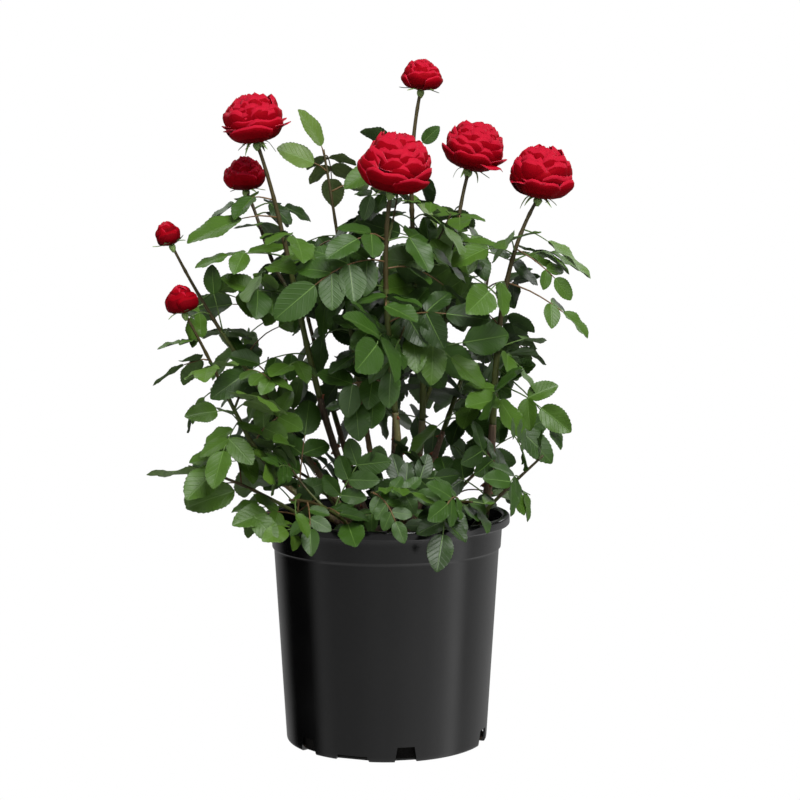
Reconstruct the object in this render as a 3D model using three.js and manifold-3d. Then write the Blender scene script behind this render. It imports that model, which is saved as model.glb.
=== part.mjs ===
// A repeat-flowering rose bush in a round black nursery pot.
// Units are millimetres and +Z is up. The origin is the centre of the pot's flat underside.
//
// The plant is an assembly: the pot, the potting soil, the woody crown, one tapering cane for each
// bough, one mass of twigs and leaves on each cane and low shoot, and the blooms.
// Every mass is grown by one seeded rule: compound leaves spiral up a stem, each leaf is a stalk
// with paired leaflets, and whatever would leave the crown's space or touch a neighbour is skipped.

import * as THREE from 'three';
import { mergeVertices } from 'three/addons/utils/BufferGeometryUtils.js';
import Module from 'manifold-3d';

const wasm = await Module();
wasm.setup();

const { degToRad, lerp } = THREE.MathUtils;
const vec = (x, y, z) => new THREE.Vector3(x, y, z);
const UP = vec(0, 0, 1);
const LIGHT = vec(0, -1, 0);        // the side that the leaves turn their faces to

// ---- Driving dimensions -------------------------------------------------------------------------

const GAP = 0.3;                    // clearance between neighbouring sub-parts

const POT = {
  height: 258,
  bottomRadius: 114.4,
  stepHeight: 220.7,                // underside of the band below the lip
  stepRadius: 128,
  bandRadius: 130,
  bandTopRadius: 131.6,
  lipRadius: 140,
  lipDrop: 11,                      // height of the rolled lip
  lipRound: 2.5,
  mouthRadius: 131,
  wall: 2.4,
  floor: 3,
  sides: 36,
};

// Drain gaps round the foot: angles are degrees from the front, towards +X.
const DRAIN_UNDERCUT = 1;
const DRAINS = [
  { count: 6, first: 10.6, width: 25, topWidth: 19, height: 17, depth: 9 },
  { count: 3, first: -19.4, width: 40, topWidth: 34, height: 6, depth: 9 },
];

const SOIL = { height: 226, edgeDrop: 3, flatRadius: 112 };

const CROWN = { radius: 24, waist: 21, waistShare: 0.55, topRadius: 13, height: 17, sides: 12 };

const CANE = { sides: 7, stepLength: 42, flare: 0.75, flareReach: 13 };

const STEM = { sides: 5, stepLength: 52, hipRadius: 5.2, hipTopRadius: 4.2, hipReach: 9 };

const LEAF = {
  turn: degToRad(144),              // each leaf stands two fifths of a turn on from the last
  turnJitter: 0.45,
  tries: 6,
  turnOnRetry: 0.8,
  lift: [degToRad(48), degToRad(78)],       // angle between the stem and a leaf's stalk
  arch: [0.35, 1.15],               // radians that a stalk bends down over its length
  sway: 0.3,
  manyPairsShare: 0.25,             // how many leaves have three pairs rather than two
  firstShare: 0.03,
  firstShareOnFork: 0.16,
  firstShareOnLowShoot: 0.3,
  lastShare: 0.985,
  lastShareUnderBloom: 0.85,
  spacingJitter: 0.6,
  sizeJitter: [0.86, 1.14],
  sizeAtEnds: 0.8,                  // leaves are smaller at both ends of a shoot
  sizeGain: 0.28,
  facing: { up: 0.62, light: 0.42, outward: 0.3, chance: 0.5, chanceUp: 0.25 },
  stalkBeforePairs: 0.55,           // lengths along the stalk, in middle-leaflet lengths
  pairStep: 0.5,
  stalkRadius: 1.5,
  stalkTipRadius: 1,
  splayAtBase: 74,                  // degrees between the stalk and its leaflets
  splayAtTip: 56,
  splayJitter: 6,
  sag: [0.05, 0.42],
  sagJitter: 0.08,
  lastSag: [0, 0.3],
  twist: 0.2,
  rootReach: 2.2,                   // half the length of stalk that opens into a pair
  fold: 0.05,                       // rise of the leaflet's shoulders, in leaflet lengths
  bend: 0.05,
};

// Leaflets: length in middle-leaflet lengths, and width in their own lengths.
const LEAFLET = {
  atBase: 0.8,
  gain: 0.14,
  jitter: [0.9, 1.08],
  width: [0.58, 0.66],
  last: [1.02, 1.2],
  lastWidth: [0.54, 0.62],
  nearShoulder: [0.27, 0.9],        // share of the length, and of the half width
  farShoulder: [0.66, 0.94],
  farRise: 0.7,
};

// Radii kept clear round the points that stand for leaflets, stalks and stems.
const CLEAR = { leaf: 4.2, stalk: 2, stem: 4.5, stemStep: 7, rim: 4, bloom: 5, touch: 0.5 };
const CELL = 14;
const SEED_STEP = { shoot: 7919, leaf: 101, attempt: 13 };

// The space of the whole crown: height against greatest radius.
const LOWEST_LEAF = 190;
const BELLY = [
  [180, 150], [215, 178], [240, 195], [270, 235], [315, 285], [400, 250],
  [470, 250], [540, 245], [600, 215], [650, 130], [700, 95], [780, 60],
];

const BLOOM = { lobes: 5, sidesPerLobe: 3, phaseStep: Math.PI / 2 };

// Each shoot is a curve from a foot on the soil, or from a share of its parent, past two handles
// to its tip. Up to the share `bare` it is the bough, and its mass takes over from there. `leaves`
// is the most leaves it may carry, `size` the length of its middle leaflets, `thick` and `thin` its
// radius at the two ends, and `bloom` the flower at its tip, which leans by [x, y] for 1 of height.
const SHOOTS = [
  { name: 'front', foot: [21, -30], low: [16, -49, 365], high: [-13, -61, 515], tip: [5, -70, 619],
    bare: 0.36, leaves: 7, size: 48, seed: 8, thick: 4.6, thin: 2.3,
    bloom: { across: 82, tall: 64, kind: 'open', lean: [0.2, -0.15] } },
  { name: 'right', foot: [104, -18], low: [134, -7, 350], high: [104, 1, 502], tip: [171, 10, 614],
    bare: 0.34, leaves: 9, size: 46, seed: 11, thick: 5.4, thin: 2.0,
    bloom: { across: 76, tall: 58, kind: 'open', lean: [0.15, -0.1] } },
  { name: 'centre', foot: [14, 10], low: [80, 20, 405], high: [2, 25, 560], tip: [39, 30, 736],
    bare: 0.26, leaves: 7, size: 47, seed: 121, thick: 4.6, thin: 1.9,
    bloom: { across: 50, tall: 36, kind: 'cup', lean: [0.08, -0.1] } },
  { name: 'centre_fork', parent: 'centre', share: 0.29, low: [76, 34, 448], high: [70, 48, 559],
    tip: [95, 60, 647], bare: 0, leaves: 5, size: 44, seed: 59, thick: 2.7, thin: 2.0,
    bloom: { across: 76, tall: 56, kind: 'open', lean: [0.28, -0.1] } },
  { name: 'left_middle', foot: [-14, 6], low: [-92, -3, 370], high: [-98, -7, 545],
    tip: [-144, -10, 675], bare: 0.36, leaves: 7, size: 46, seed: 56, thick: 4.6, thin: 1.9,
    bloom: { across: 76, tall: 54, kind: 'open', lean: [-0.14, -0.1] } },
  { name: 'left_middle_fork', parent: 'left_middle', share: 0.6, low: [-134, 14, 532],
    high: [-140, 32, 583], tip: [-161, 50, 624], bare: 0, leaves: 3, size: 40, seed: 101,
    thick: 2.3, thin: 1.7, bloom: { across: 52, tall: 40, kind: 'cup', lean: [-0.04, -0.1] } },
  { name: 'spire', foot: [2, 24], low: [-34, 28, 375], high: [-46, 37, 529], tip: [-72, 45, 670],
    bare: 0.4, leaves: 8, size: 46, seed: 44, thick: 3.8, thin: 1.4 },
  { name: 'left_low', foot: [-14, -25], low: [-165, -44, 318], high: [-135, -39, 325],
    tip: [-221, -60, 488], bare: 0.36, leaves: 8, size: 42, seed: 42, thick: 4.0, thin: 1.5,
    bloom: { across: 38, tall: 31, kind: 'bud', lean: [-0.25, 0] } },
  { name: 'left_high', foot: [-28, -9], low: [-100, -1, 350], high: [-175, -4, 429],
    tip: [-240, -10, 562], bare: 0.38, leaves: 7, size: 42, seed: 46, thick: 4.0, thin: 1.5,
    bloom: { across: 31, tall: 27, kind: 'bud', lean: [-0.33, 0] } },
  { name: 'back_left', foot: [-16, 34], low: [-60, 90, 350], high: [-90, 130, 450],
    tip: [-115, 150, 560], bare: 0.36, leaves: 7, size: 47, seed: 135, thick: 4.2, thin: 1.4 },
  { name: 'back_right', foot: [27, 28], low: [60, 90, 340], high: [110, 120, 430],
    tip: [125, 150, 540], bare: 0.36, leaves: 7, size: 47, seed: 29, thick: 4.2, thin: 1.4 },
  { name: 'back', foot: [7, 41], low: [10, 90, 350], high: [10, 140, 440], tip: [20, 190, 520],
    bare: 0.36, leaves: 7, size: 47, seed: 41, thick: 4.2, thin: 1.4 },
  { name: 'low_left', foot: [-42, -26], low: [-95, -58, 262], high: [-140, -76, 300],
    tip: [-216, -84, 322], bare: 0, leaves: 7, size: 39, seed: 99, thick: 2.6, thin: 1.3 },
  { name: 'low_right', foot: [84, -34], low: [110, -50, 275], high: [140, -66, 300],
    tip: [172, -70, 332], bare: 0, leaves: 6, size: 37, seed: 347, thick: 2.6, thin: 1.3 },
  { name: 'low_front_left', foot: [-22, -42], low: [-44, -75, 264], high: [-72, -98, 288],
    tip: [-104, -122, 290], bare: 0, leaves: 5, size: 33, seed: 247, thick: 2.6, thin: 1.3 },
  { name: 'low_front_right', foot: [44, -38], low: [54, -72, 264], high: [70, -98, 288],
    tip: [92, -124, 288], bare: 0, leaves: 5, size: 33, seed: 80, thick: 2.6, thin: 1.3 },
  { name: 'low_front', foot: [6, -44], low: [4, -80, 268], high: [-4, -104, 296],
    tip: [-16, -136, 300], bare: 0, leaves: 4, size: 33, seed: 286, thick: 2.6, thin: 1.3 },
  { name: 'low_back_left', foot: [-40, 26], low: [-62, 60, 275], high: [-100, 90, 300],
    tip: [-140, 120, 300], bare: 0, leaves: 5, size: 36, seed: 94, thick: 2.6, thin: 1.3 },
  { name: 'low_back_right', foot: [48, 22], low: [76, 58, 275], high: [110, 90, 300],
    tip: [140, 120, 310], bare: 0, leaves: 5, size: 36, seed: 80, thick: 2.6, thin: 1.3 },
];

const COLOURS = {
  pot: { color: 0x242629, roughness: 0.42, metalness: 0 },
  soil: { color: 0x1f1712, roughness: 1, metalness: 0 },
  wood: { color: 0x5a4630, roughness: 0.85, metalness: 0 },
  cane: { color: 0x5c6433, roughness: 0.6, metalness: 0 },
  leaf: { color: 0x2f5a24, roughness: 0.5, metalness: 0 },
  petal: { color: 0xa50f22, roughness: 0.65, metalness: 0 },
};

// ---- Solids -------------------------------------------------------------------------------------

function solidOf(geometry) {
  geometry.deleteAttribute('normal');
  geometry.deleteAttribute('uv');
  const merged = mergeVertices(geometry, 1e-5);
  const vertProperties = new Float32Array(merged.getAttribute('position').array);
  const triVerts = new Uint32Array(merged.getIndex().array);
  return new wasm.Manifold(new wasm.Mesh({ numProp: 3, vertProperties, triVerts }));
}

function geometryOf(solid) {
  const { vertProperties, triVerts } = solid.getMesh();
  const geometry = new THREE.BufferGeometry();
  geometry.setAttribute('position', new THREE.BufferAttribute(vertProperties, 3));
  geometry.setIndex(new THREE.BufferAttribute(triVerts, 1));
  geometry.computeVertexNormals();
  return geometry;
}

// The largest closed body of a solid, so that scraps and sealed hollows are left behind.
function wholeOf(solid) {
  return solid.decompose().reduce((best, piece) => (piece.volume() > best.volume() ? piece : best));
}

function facesGeometry(points, faces) {
  const geometry = new THREE.BufferGeometry();
  geometry.setAttribute('position', new THREE.Float32BufferAttribute(points.flatMap((p) => p.toArray()), 3));
  geometry.setIndex(faces.flat());
  return geometry;
}

// A closed tapering limb through rings of { at, along, radius }. `side` is square to its plane.
function limb(rings, sides, side) {
  const points = [];
  const faces = [];
  for (const { at, along, radius } of rings) {
    const across = side.clone().addScaledVector(along, -side.dot(along)).normalize();
    const over = vec(0, 0, 0).crossVectors(along, across);
    for (let i = 0; i < sides; i += 1) {
      const angle = (i / sides) * 2 * Math.PI;
      points.push(at.clone().addScaledVector(across, radius * Math.cos(angle))
        .addScaledVector(over, radius * Math.sin(angle)));
    }
  }
  for (let ring = 0; ring < rings.length - 1; ring += 1) {
    for (let i = 0; i < sides; i += 1) {
      const [a, b] = [ring * sides + i, ring * sides + ((i + 1) % sides)];
      faces.push([a, b, a + sides], [b, b + sides, a + sides]);
    }
  }
  const last = (rings.length - 1) * sides;
  for (let i = 1; i < sides - 1; i += 1) {
    faces.push([0, i + 1, i], [last, last + i, last + i + 1]);
  }
  return solidOf(facesGeometry(points, faces));
}

const lathe = (profile, sides) => solidOf(
  new THREE.LatheGeometry(profile.map(([r, z]) => new THREE.Vector2(r, z)), sides).rotateX(Math.PI / 2),
);

// ---- Pot, soil and crown ------------------------------------------------------------------------

const outerRadiusAt = (z) => lerp(POT.bottomRadius, POT.stepRadius, z / POT.stepHeight);
const innerRadiusAt = (z) => outerRadiusAt(z) - POT.wall;

function makeDrain({ width, topWidth, height, depth }, angle) {
  const opening = new THREE.Shape([
    new THREE.Vector2(-width / 2, -DRAIN_UNDERCUT), new THREE.Vector2(width / 2, -DRAIN_UNDERCUT),
    new THREE.Vector2(topWidth / 2, height), new THREE.Vector2(-topWidth / 2, height),
  ]);
  const reach = 2 * depth;
  return solidOf(new THREE.ExtrudeGeometry(opening, { depth: reach, bevelEnabled: false })
    .rotateX(Math.PI / 2).translate(0, -POT.bottomRadius + depth, 0).rotateZ(angle));
}

function makePot() {
  const { height, lipRadius, lipDrop, lipRound, mouthRadius } = POT;
  let pot = lathe([
    [0, 0],
    [POT.bottomRadius, 0],
    [POT.stepRadius, POT.stepHeight],
    [POT.bandRadius, POT.stepHeight],
    [POT.bandTopRadius, height - lipDrop],
    [lipRadius - lipRound, height - lipDrop],
    [lipRadius, height - lipDrop + lipRound],
    [lipRadius, height - lipRound],
    [lipRadius - lipRound, height],
    [mouthRadius + lipRound, height],
    [mouthRadius, height - lipRound],
    [innerRadiusAt(POT.stepHeight), POT.stepHeight],
    [innerRadiusAt(POT.floor), POT.floor],
    [0, POT.floor],
  ], POT.sides);
  for (const drain of DRAINS) {
    for (let i = 0; i < drain.count; i += 1) {
      pot = pot.subtract(makeDrain(drain, degToRad(drain.first + (360 / drain.count) * i)));
    }
  }
  return wholeOf(pot);
}

function makeSoil() {
  const edge = SOIL.height - SOIL.edgeDrop;
  const radiusAt = (z) => Math.min(innerRadiusAt(z), innerRadiusAt(POT.stepHeight)) - GAP;
  return lathe([
    [0, POT.floor + GAP],
    [radiusAt(POT.floor), POT.floor + GAP],
    [radiusAt(edge), edge],
    [SOIL.flatRadius, SOIL.height],
    [0, SOIL.height],
  ], POT.sides);
}

function makeCrown(grow = 0) {
  const foot = SOIL.height + GAP - grow;
  return lathe([
    [0, foot],
    [CROWN.radius + grow, foot],
    [CROWN.waist + grow, foot + CROWN.height * CROWN.waistShare],
    [CROWN.topRadius + grow, foot + CROWN.height + grow],
    [0, foot + CROWN.height + grow],
  ], CROWN.sides);
}

// ---- The shoots' curves -------------------------------------------------------------------------

const shoots = new Map();

for (const entry of SHOOTS) {
  const parent = shoots.get(entry.parent);
  const foot = parent
    ? parent.curve.getPoint(entry.share)
    : vec(entry.foot[0], entry.foot[1], SOIL.height + GAP);
  const curve = new THREE.CubicBezierCurve3(foot, vec(...entry.low), vec(...entry.high), vec(...entry.tip));
  const run = curve.v3.clone().sub(foot);
  shoots.set(entry.name, {
    ...entry,
    curve,
    family: entry.parent ?? entry.name,
    side: vec(0, 0, 0).crossVectors(run, UP).normalize(),
    length: curve.getLength(),
  });
}

function bloomPlace({ curve, bloom }) {
  const axis = vec(bloom.lean[0], bloom.lean[1], 1).normalize();
  return { axis, centre: curve.v3.clone().addScaledVector(axis, bloom.tall / 2 + GAP) };
}

const bloomSpaces = [...shoots.values()].filter((shoot) => shoot.bloom).map((shoot) => ({
  centre: bloomPlace(shoot).centre,
  halfWidth: shoot.bloom.across / 2 + CLEAR.bloom,
  halfHeight: shoot.bloom.tall / 2 + CLEAR.bloom,
}));

function radiusOn(shoot, share) {
  const flare = shoot.parent ? 0 : CANE.flare * Math.exp((-share * shoot.length) / CANE.flareReach);
  return lerp(shoot.thick, shoot.thin, share) * (1 + flare);
}

// Rings along a shoot between two shares. A limb that stands on the soil is cut level there.
function ringsOn(shoot, from, to, stepLength, grow = 0) {
  const steps = Math.max(2, Math.round(((to - from) * shoot.length) / stepLength));
  const rings = [];
  for (let i = 0; i <= steps; i += 1) {
    const share = lerp(from, to, i / steps);
    const onSoil = share === 0 && !shoot.parent;
    const along = onSoil ? UP.clone() : shoot.curve.getTangent(share);
    rings.push({ at: shoot.curve.getPoint(share), along, radius: radiusOn(shoot, share) + grow });
    if (onSoil) {
      const near = CANE.flareReach / shoot.length;
      const nearAlong = shoot.curve.getTangent(near);
      rings.push({ at: shoot.curve.getPoint(near), along: nearAlong, radius: radiusOn(shoot, near) + grow });
    }
  }
  return rings;
}

// ---- The growth rule ----------------------------------------------------------------------------

function makeDice(seed) {
  let state = seed >>> 0;
  return (low = 0, high = 1) => {
    state = (state + 0x6D2B79F5) >>> 0;
    let t = Math.imul(state ^ (state >>> 15), state | 1);
    t ^= t + Math.imul(t ^ (t >>> 7), t | 61);
    return low + ((high - low) * ((t ^ (t >>> 14)) >>> 0)) / 4294967296;
  };
}

// Points that are taken, in cells, each with the radius that it keeps clear.
class Space {
  cells = new Map();

  add(point, radius, owner) {
    const key = [point.x, point.y, point.z].map((value) => Math.floor(value / CELL)).join();
    if (!this.cells.has(key)) this.cells.set(key, []);
    this.cells.get(key).push({ point, radius, owner });
  }

  isClear(point, radius, ownStem) {
    const [i, j, k] = [point.x, point.y, point.z].map((value) => Math.floor(value / CELL));
    for (let di = -1; di <= 1; di += 1) {
      for (let dj = -1; dj <= 1; dj += 1) {
        for (let dk = -1; dk <= 1; dk += 1) {
          for (const taken of this.cells.get([i + di, j + dj, k + dk].join()) ?? []) {
            if (taken.owner === ownStem) continue;
            if (point.distanceTo(taken.point) < radius + taken.radius) return false;
          }
        }
      }
    }
    return true;
  }
}

function bellyAt(z) {
  const above = BELLY.findIndex(([height]) => z < height);
  if (above < 1) return 0;
  const [[z0, r0], [z1, r1]] = [BELLY[above - 1], BELLY[above]];
  return r0 + ((r1 - r0) * (z - z0)) / (z1 - z0);
}

function insideCrownSpace(point) {
  const radius = Math.hypot(point.x, point.y);
  if (point.z < LOWEST_LEAF || radius > bellyAt(point.z)) return false;
  if (point.z < POT.height + CLEAR.rim) {
    if (radius > POT.mouthRadius - CLEAR.rim && radius < POT.lipRadius + CLEAR.rim) return false;
    if (radius <= POT.mouthRadius - CLEAR.rim && point.z < SOIL.height + CLEAR.rim) return false;
  }
  return bloomSpaces.every(({ centre, halfWidth, halfHeight }) => (
    ((point.x - centre.x) ** 2 + (point.y - centre.y) ** 2) / halfWidth ** 2
      + (point.z - centre.z) ** 2 / halfHeight ** 2 >= 1));
}

// The way a leaf's face points: up, to the light and outwards, with some chance, square to `along`.
function faceOf(along, outward, dice) {
  const { up, light, outward: out, chance, chanceUp } = LEAF.facing;
  const face = vec(dice(-chance, chance), dice(-chance, chance), dice(-chanceUp, chanceUp))
    .addScaledVector(UP, up).addScaledVector(LIGHT, light).addScaledVector(outward, out);
  return face.addScaledVector(along, -face.dot(along)).normalize();
}

// One compound leaf: its stalk's points and headings, and its leaflets in pairs with one at the end.
function makeLeaf(dice, root, stem, turn, size, pairs, lift, arch) {
  const outward = vec(Math.cos(turn), Math.sin(turn), 0);
  outward.addScaledVector(stem, -outward.dot(stem)).normalize();
  const heading = stem.clone().multiplyScalar(Math.cos(lift)).addScaledVector(outward, Math.sin(lift));
  heading.normalize();
  const steps = [LEAF.stalkBeforePairs / 2, LEAF.stalkBeforePairs / 2, ...Array(pairs).fill(LEAF.pairStep)];
  const total = LEAF.stalkBeforePairs + LEAF.pairStep * pairs;
  const sway = dice(-LEAF.sway, LEAF.sway);
  const points = [root];
  const headings = [];
  for (const step of steps) {
    const sideways = vec(0, 0, 0).crossVectors(heading, UP);
    heading.addScaledVector(UP, (-arch * step) / total).addScaledVector(sideways, (sway * step) / total);
    heading.normalize();
    points.push(points.at(-1).clone().addScaledVector(heading, size * step));
    headings.push(heading.clone());
  }
  const level = vec(outward.x, outward.y, 0).normalize();
  const plane = faceOf(headings[1], level, dice);
  const sag = dice(...LEAF.sag);
  const leaflets = [];

  const addLeaflet = (node, hand, along, splay, droop, length, widths) => {
    const wing = vec(0, 0, 0).crossVectors(along, plane).normalize();
    const up = vec(0, 0, 0).crossVectors(wing, along);
    const way = along.clone().multiplyScalar(Math.cos(splay))
      .addScaledVector(wing, hand * Math.sin(splay)).addScaledVector(up, -droop).normalize();
    const flat = up.addScaledVector(way, -up.dot(way)).normalize();
    const twist = dice(-LEAF.twist, LEAF.twist);
    const face = flat.clone().multiplyScalar(Math.cos(twist))
      .addScaledVector(vec(0, 0, 0).crossVectors(way, flat), Math.sin(twist));
    const width = length * dice(...widths);
    leaflets.push({ node, hand, root: points[node], along: way, face, length, width });
  };

  for (let pair = 0; pair < pairs; pair += 1) {
    const along = headings[pair + 1].clone().add(headings[pair + 2]).normalize();
    const rank = (pair + 1) / pairs;
    for (const hand of [-1, 1]) {
      const length = size * (LEAFLET.atBase + LEAFLET.gain * rank) * dice(...LEAFLET.jitter);
      const splay = degToRad(lerp(LEAF.splayAtBase, LEAF.splayAtTip, rank)
        + dice(-LEAF.splayJitter, LEAF.splayJitter));
      const droop = sag + dice(-LEAF.sagJitter, LEAF.sagJitter);
      addLeaflet(pair + 2, hand, along, splay, droop, length, LEAFLET.width);
    }
  }
  const length = size * dice(...LEAFLET.last);
  addLeaflet(pairs + 2, 0, headings.at(-1), 0, dice(...LEAF.lastSag), length, LEAFLET.lastWidth);
  return { points, headings, plane, leaflets };
}

// Points spread over a leaflet: share of its length, and of its half width to either side.
const SPREAD = [[0.1, 0], [0.24, 0.5], [0.4, 0.62], [0.56, 0.62], [0.72, 0.55], [0.88, 0.35], [1, 0]];

function pointsOver({ root, along, face, length, width }) {
  const across = vec(0, 0, 0).crossVectors(along, face);
  return SPREAD.flatMap(([forward, sideways]) => {
    const middle = root.clone().addScaledVector(along, length * forward);
    const hands = sideways ? [1, -1] : [];
    return [middle, ...hands.map((hand) => (
      middle.clone().addScaledVector(across, (hand * sideways * width) / 2)))];
  });
}

function growLeaf(shoot, number, space) {
  const first = shoot.parent ? LEAF.firstShareOnFork : shoot.bare || LEAF.firstShareOnLowShoot;
  const last = shoot.bloom ? LEAF.lastShareUnderBloom : LEAF.lastShare;
  const seed = shoot.seed * SEED_STEP.shoot;
  const start = makeDice(seed)(0, 2 * Math.PI);
  let best = null;
  for (let attempt = 0; attempt < LEAF.tries; attempt += 1) {
    const dice = makeDice(seed + number * SEED_STEP.leaf + attempt * SEED_STEP.attempt + 1);
    const rank = Math.min(1, (number + dice(0, LEAF.spacingJitter)) / (shoot.leaves - 0.5));
    const share = first + LEAF.firstShare + (last - first - LEAF.firstShare) * rank;
    const turn = start + number * LEAF.turn + dice(-LEAF.turnJitter, LEAF.turnJitter)
      + attempt * LEAF.turnOnRetry;
    const up = (share - first) / (1 - first);
    const middling = Math.sin(Math.PI * Math.min(1, up * 0.9 + 0.15));
    const size = shoot.size * (LEAF.sizeAtEnds + LEAF.sizeGain * middling) * dice(...LEAF.sizeJitter);
    const underBloom = shoot.bloom && number === shoot.leaves - 1;
    const pairs = underBloom ? 1 : dice() < LEAF.manyPairsShare ? 3 : 2;
    const lift = dice(...LEAF.lift);
    const arch = dice(...LEAF.arch);
    const leaf = makeLeaf(dice, shoot.curve.getPoint(share), shoot.curve.getTangent(share),
      turn, size, pairs, lift, arch);
    const stalk = leaf.points.slice(1);
    const stalkFits = stalk.every((point) => insideCrownSpace(point)
      && space.isClear(point, CLEAR.stalk, `stem ${shoot.family}`));
    if (!stalkFits) continue;
    const wanted = leaf.leaflets.length;
    leaf.leaflets = leaf.leaflets.filter((leaflet) => pointsOver(leaflet).every((point, i) => (
      insideCrownSpace(point) && (i === 0 || space.isClear(point, CLEAR.leaf)))));
    const kept = leaf.leaflets.length;
    if (kept * 2 >= wanted && kept > (best?.leaflets.length ?? 0)) best = leaf;
    if (kept === wanted) break;
  }
  if (best) {
    best.points.slice(1).forEach((point) => space.add(point, CLEAR.stalk, shoot.name));
    best.leaflets.forEach((leaflet) => pointsOver(leaflet).slice(1)
      .forEach((point) => space.add(point, CLEAR.leaf, shoot.name)));
  }
  return best;
}

function growAll() {
  const space = new Space();
  for (const shoot of shoots.values()) {
    const steps = Math.floor(shoot.length / CLEAR.stemStep);
    for (let i = 0; i <= steps; i += 1) {
      space.add(shoot.curve.getPoint(i / steps), CLEAR.stem, `stem ${shoot.family}`);
    }
  }
  for (const shoot of shoots.values()) {
    const numbers = Array.from({ length: shoot.leaves }, (_, number) => number);
    shoot.grown = numbers.map((number) => growLeaf(shoot, number, space)).filter(Boolean);
  }
}

// ---- Leaves, stems and canes as solids ----------------------------------------------------------

// The five outline points of a leaflet past its root: up its right side, its tip, down its left.
function outlineOf({ root, along, face, length, width }, grow = 0) {
  const across = vec(0, 0, 0).crossVectors(along, face);
  const reach = length + grow;
  const half = width / 2 + grow;
  const rise = LEAF.fold * length;
  const place = (forward, sideways, lift) => root.clone().addScaledVector(along, forward * reach)
    .addScaledVector(across, sideways * half).addScaledVector(face, lift);
  const [near, nearHalf] = LEAFLET.nearShoulder;
  const [far, farHalf] = LEAFLET.farShoulder;
  const farRise = rise * LEAFLET.farRise;
  return [
    place(near, nearHalf, rise), place(far, farHalf, farRise), place(1, 0, -LEAF.bend * length),
    place(far, -farHalf, farRise), place(near, -nearHalf, rise),
  ];
}

// The room that a leaflet needs, as a solid of eight faces.
function leafletRoom(leaflet) {
  const grow = CLEAR.touch;
  const under = leaflet.root.clone().addScaledVector(leaflet.face, -LEAF.stalkRadius - grow);
  const [a, b, tip, c, d] = outlineOf(leaflet, grow)
    .map((point) => point.addScaledVector(leaflet.face, grow));
  return solidOf(facesGeometry([under, a, b, tip, c, d], [
    [1, 2, 3], [1, 3, 5], [3, 4, 5], [0, 1, 5],
    [0, 2, 1], [0, 3, 2], [0, 4, 3], [0, 5, 4],
  ]));
}

// A compound leaf as one closed skin. Its stalk has three sides: one above, from its left edge to
// its right, and two below, which meet in an edge underneath. At each pair the stalk opens into a
// leaflet on either hand, and its end opens into the last leaflet.
function leafSkin({ points: nodes, headings, plane, leaflets }) {
  const points = [];
  const faces = [];
  const put = (point) => points.push(point) - 1;
  const steps = headings.length;
  const frameAt = (node) => {
    const before = headings[Math.max(0, node - 1)];
    const along = before.clone().add(headings[Math.min(steps - 1, node)]).normalize();
    const wing = vec(0, 0, 0).crossVectors(along, plane).normalize();
    const radius = lerp(LEAF.stalkRadius, LEAF.stalkTipRadius, node / steps);
    return { at: nodes[node], along, wing, up: vec(0, 0, 0).crossVectors(wing, along), radius };
  };
  const edgeAt = ({ at, along, wing, radius }, hand, forward) => put(
    at.clone().addScaledVector(wing, hand * radius).addScaledVector(along, forward));
  const underAt = ({ at, up, radius }) => put(at.clone().addScaledVector(up, -1.5 * radius));

  const bridge = ([left, right, under], [nextLeft, nextRight, nextUnder]) => faces.push(
    [right, nextRight, nextLeft], [right, nextLeft, left],
    [left, nextLeft, nextUnder], [left, nextUnder, under],
    [nextRight, right, under], [nextRight, under, nextUnder],
  );
  const openInto = (leaflet, first, last, under) => {
    if (!leaflet) {
      faces.push([first, under, last]);
      return;
    }
    const [a, b, tip, c, d] = outlineOf(leaflet).map(put);
    faces.push(
      [tip, c, d], [tip, d, last], [tip, last, first], [tip, first, a], [tip, a, b],
      [under, last, d], [under, d, c], [under, c, tip], [under, tip, b], [under, b, a], [under, a, first],
    );
  };
  const leafletAt = (node, hand) => leaflets.find((each) => each.node === node && each.hand === hand);

  const base = frameAt(0);
  let ring = [edgeAt(base, -1, 0), edgeAt(base, 1, 0), underAt(base)];
  faces.push([ring[1], ring[0], ring[2]]);
  for (let node = 2; node < steps; node += 1) {
    const frame = frameAt(node);
    const [left, right, under] = [edgeAt(frame, -1, -LEAF.rootReach), edgeAt(frame, 1, -LEAF.rootReach),
      underAt(frame)];
    bridge(ring, [left, right, under]);
    const [nextLeft, nextRight] = [edgeAt(frame, -1, LEAF.rootReach), edgeAt(frame, 1, LEAF.rootReach)];
    faces.push([right, nextRight, nextLeft], [right, nextLeft, left]);
    openInto(leafletAt(node, -1), nextLeft, left, under);
    openInto(leafletAt(node, 1), right, nextRight, under);
    ring = [nextLeft, nextRight, under];
  }
  const end = frameAt(steps);
  const last = [edgeAt(end, -1, 0), edgeAt(end, 1, 0), underAt(end)];
  bridge(ring, last);
  openInto(leafletAt(steps, 0), last[1], last[0], last[2]);
  return solidOf(facesGeometry(points, faces));
}

// What stands already, so that a leaflet that would touch another node is left out.
const standing = [];

// `swollen` is the solid grown by the gap, which a limb that starts inside it is cut with.
function stand(solid, node, swollen = null) {
  standing.push({ solid, node, swollen, box: solid.boundingBox() });
}

function cutClear(limbSolid, node) {
  return wholeOf(standing.filter((other) => other.swollen && other.node !== node)
    .reduce((rest, other) => rest.subtract(other.swollen), limbSolid));
}

function touchesOthers(solid, node) {
  const { min, max } = solid.boundingBox();
  return standing.some((other) => other.node !== node
    && [0, 1, 2].every((i) => min[i] <= other.box.max[i] && other.box.min[i] <= max[i])
    && !other.solid.intersect(solid).isEmpty());
}

// The hip under a bloom.
function hipSolid(shoot) {
  const { axis } = bloomPlace(shoot);
  const ringAt = (back, radius) => (
    { at: shoot.curve.v3.clone().addScaledVector(axis, -back), along: axis, radius });
  return limb([
    ringAt(STEM.hipReach, shoot.thin),
    ringAt(STEM.hipReach / 2, STEM.hipRadius),
    ringAt(0, STEM.hipTopRadius),
  ], STEM.sides, shoot.side);
}

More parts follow.
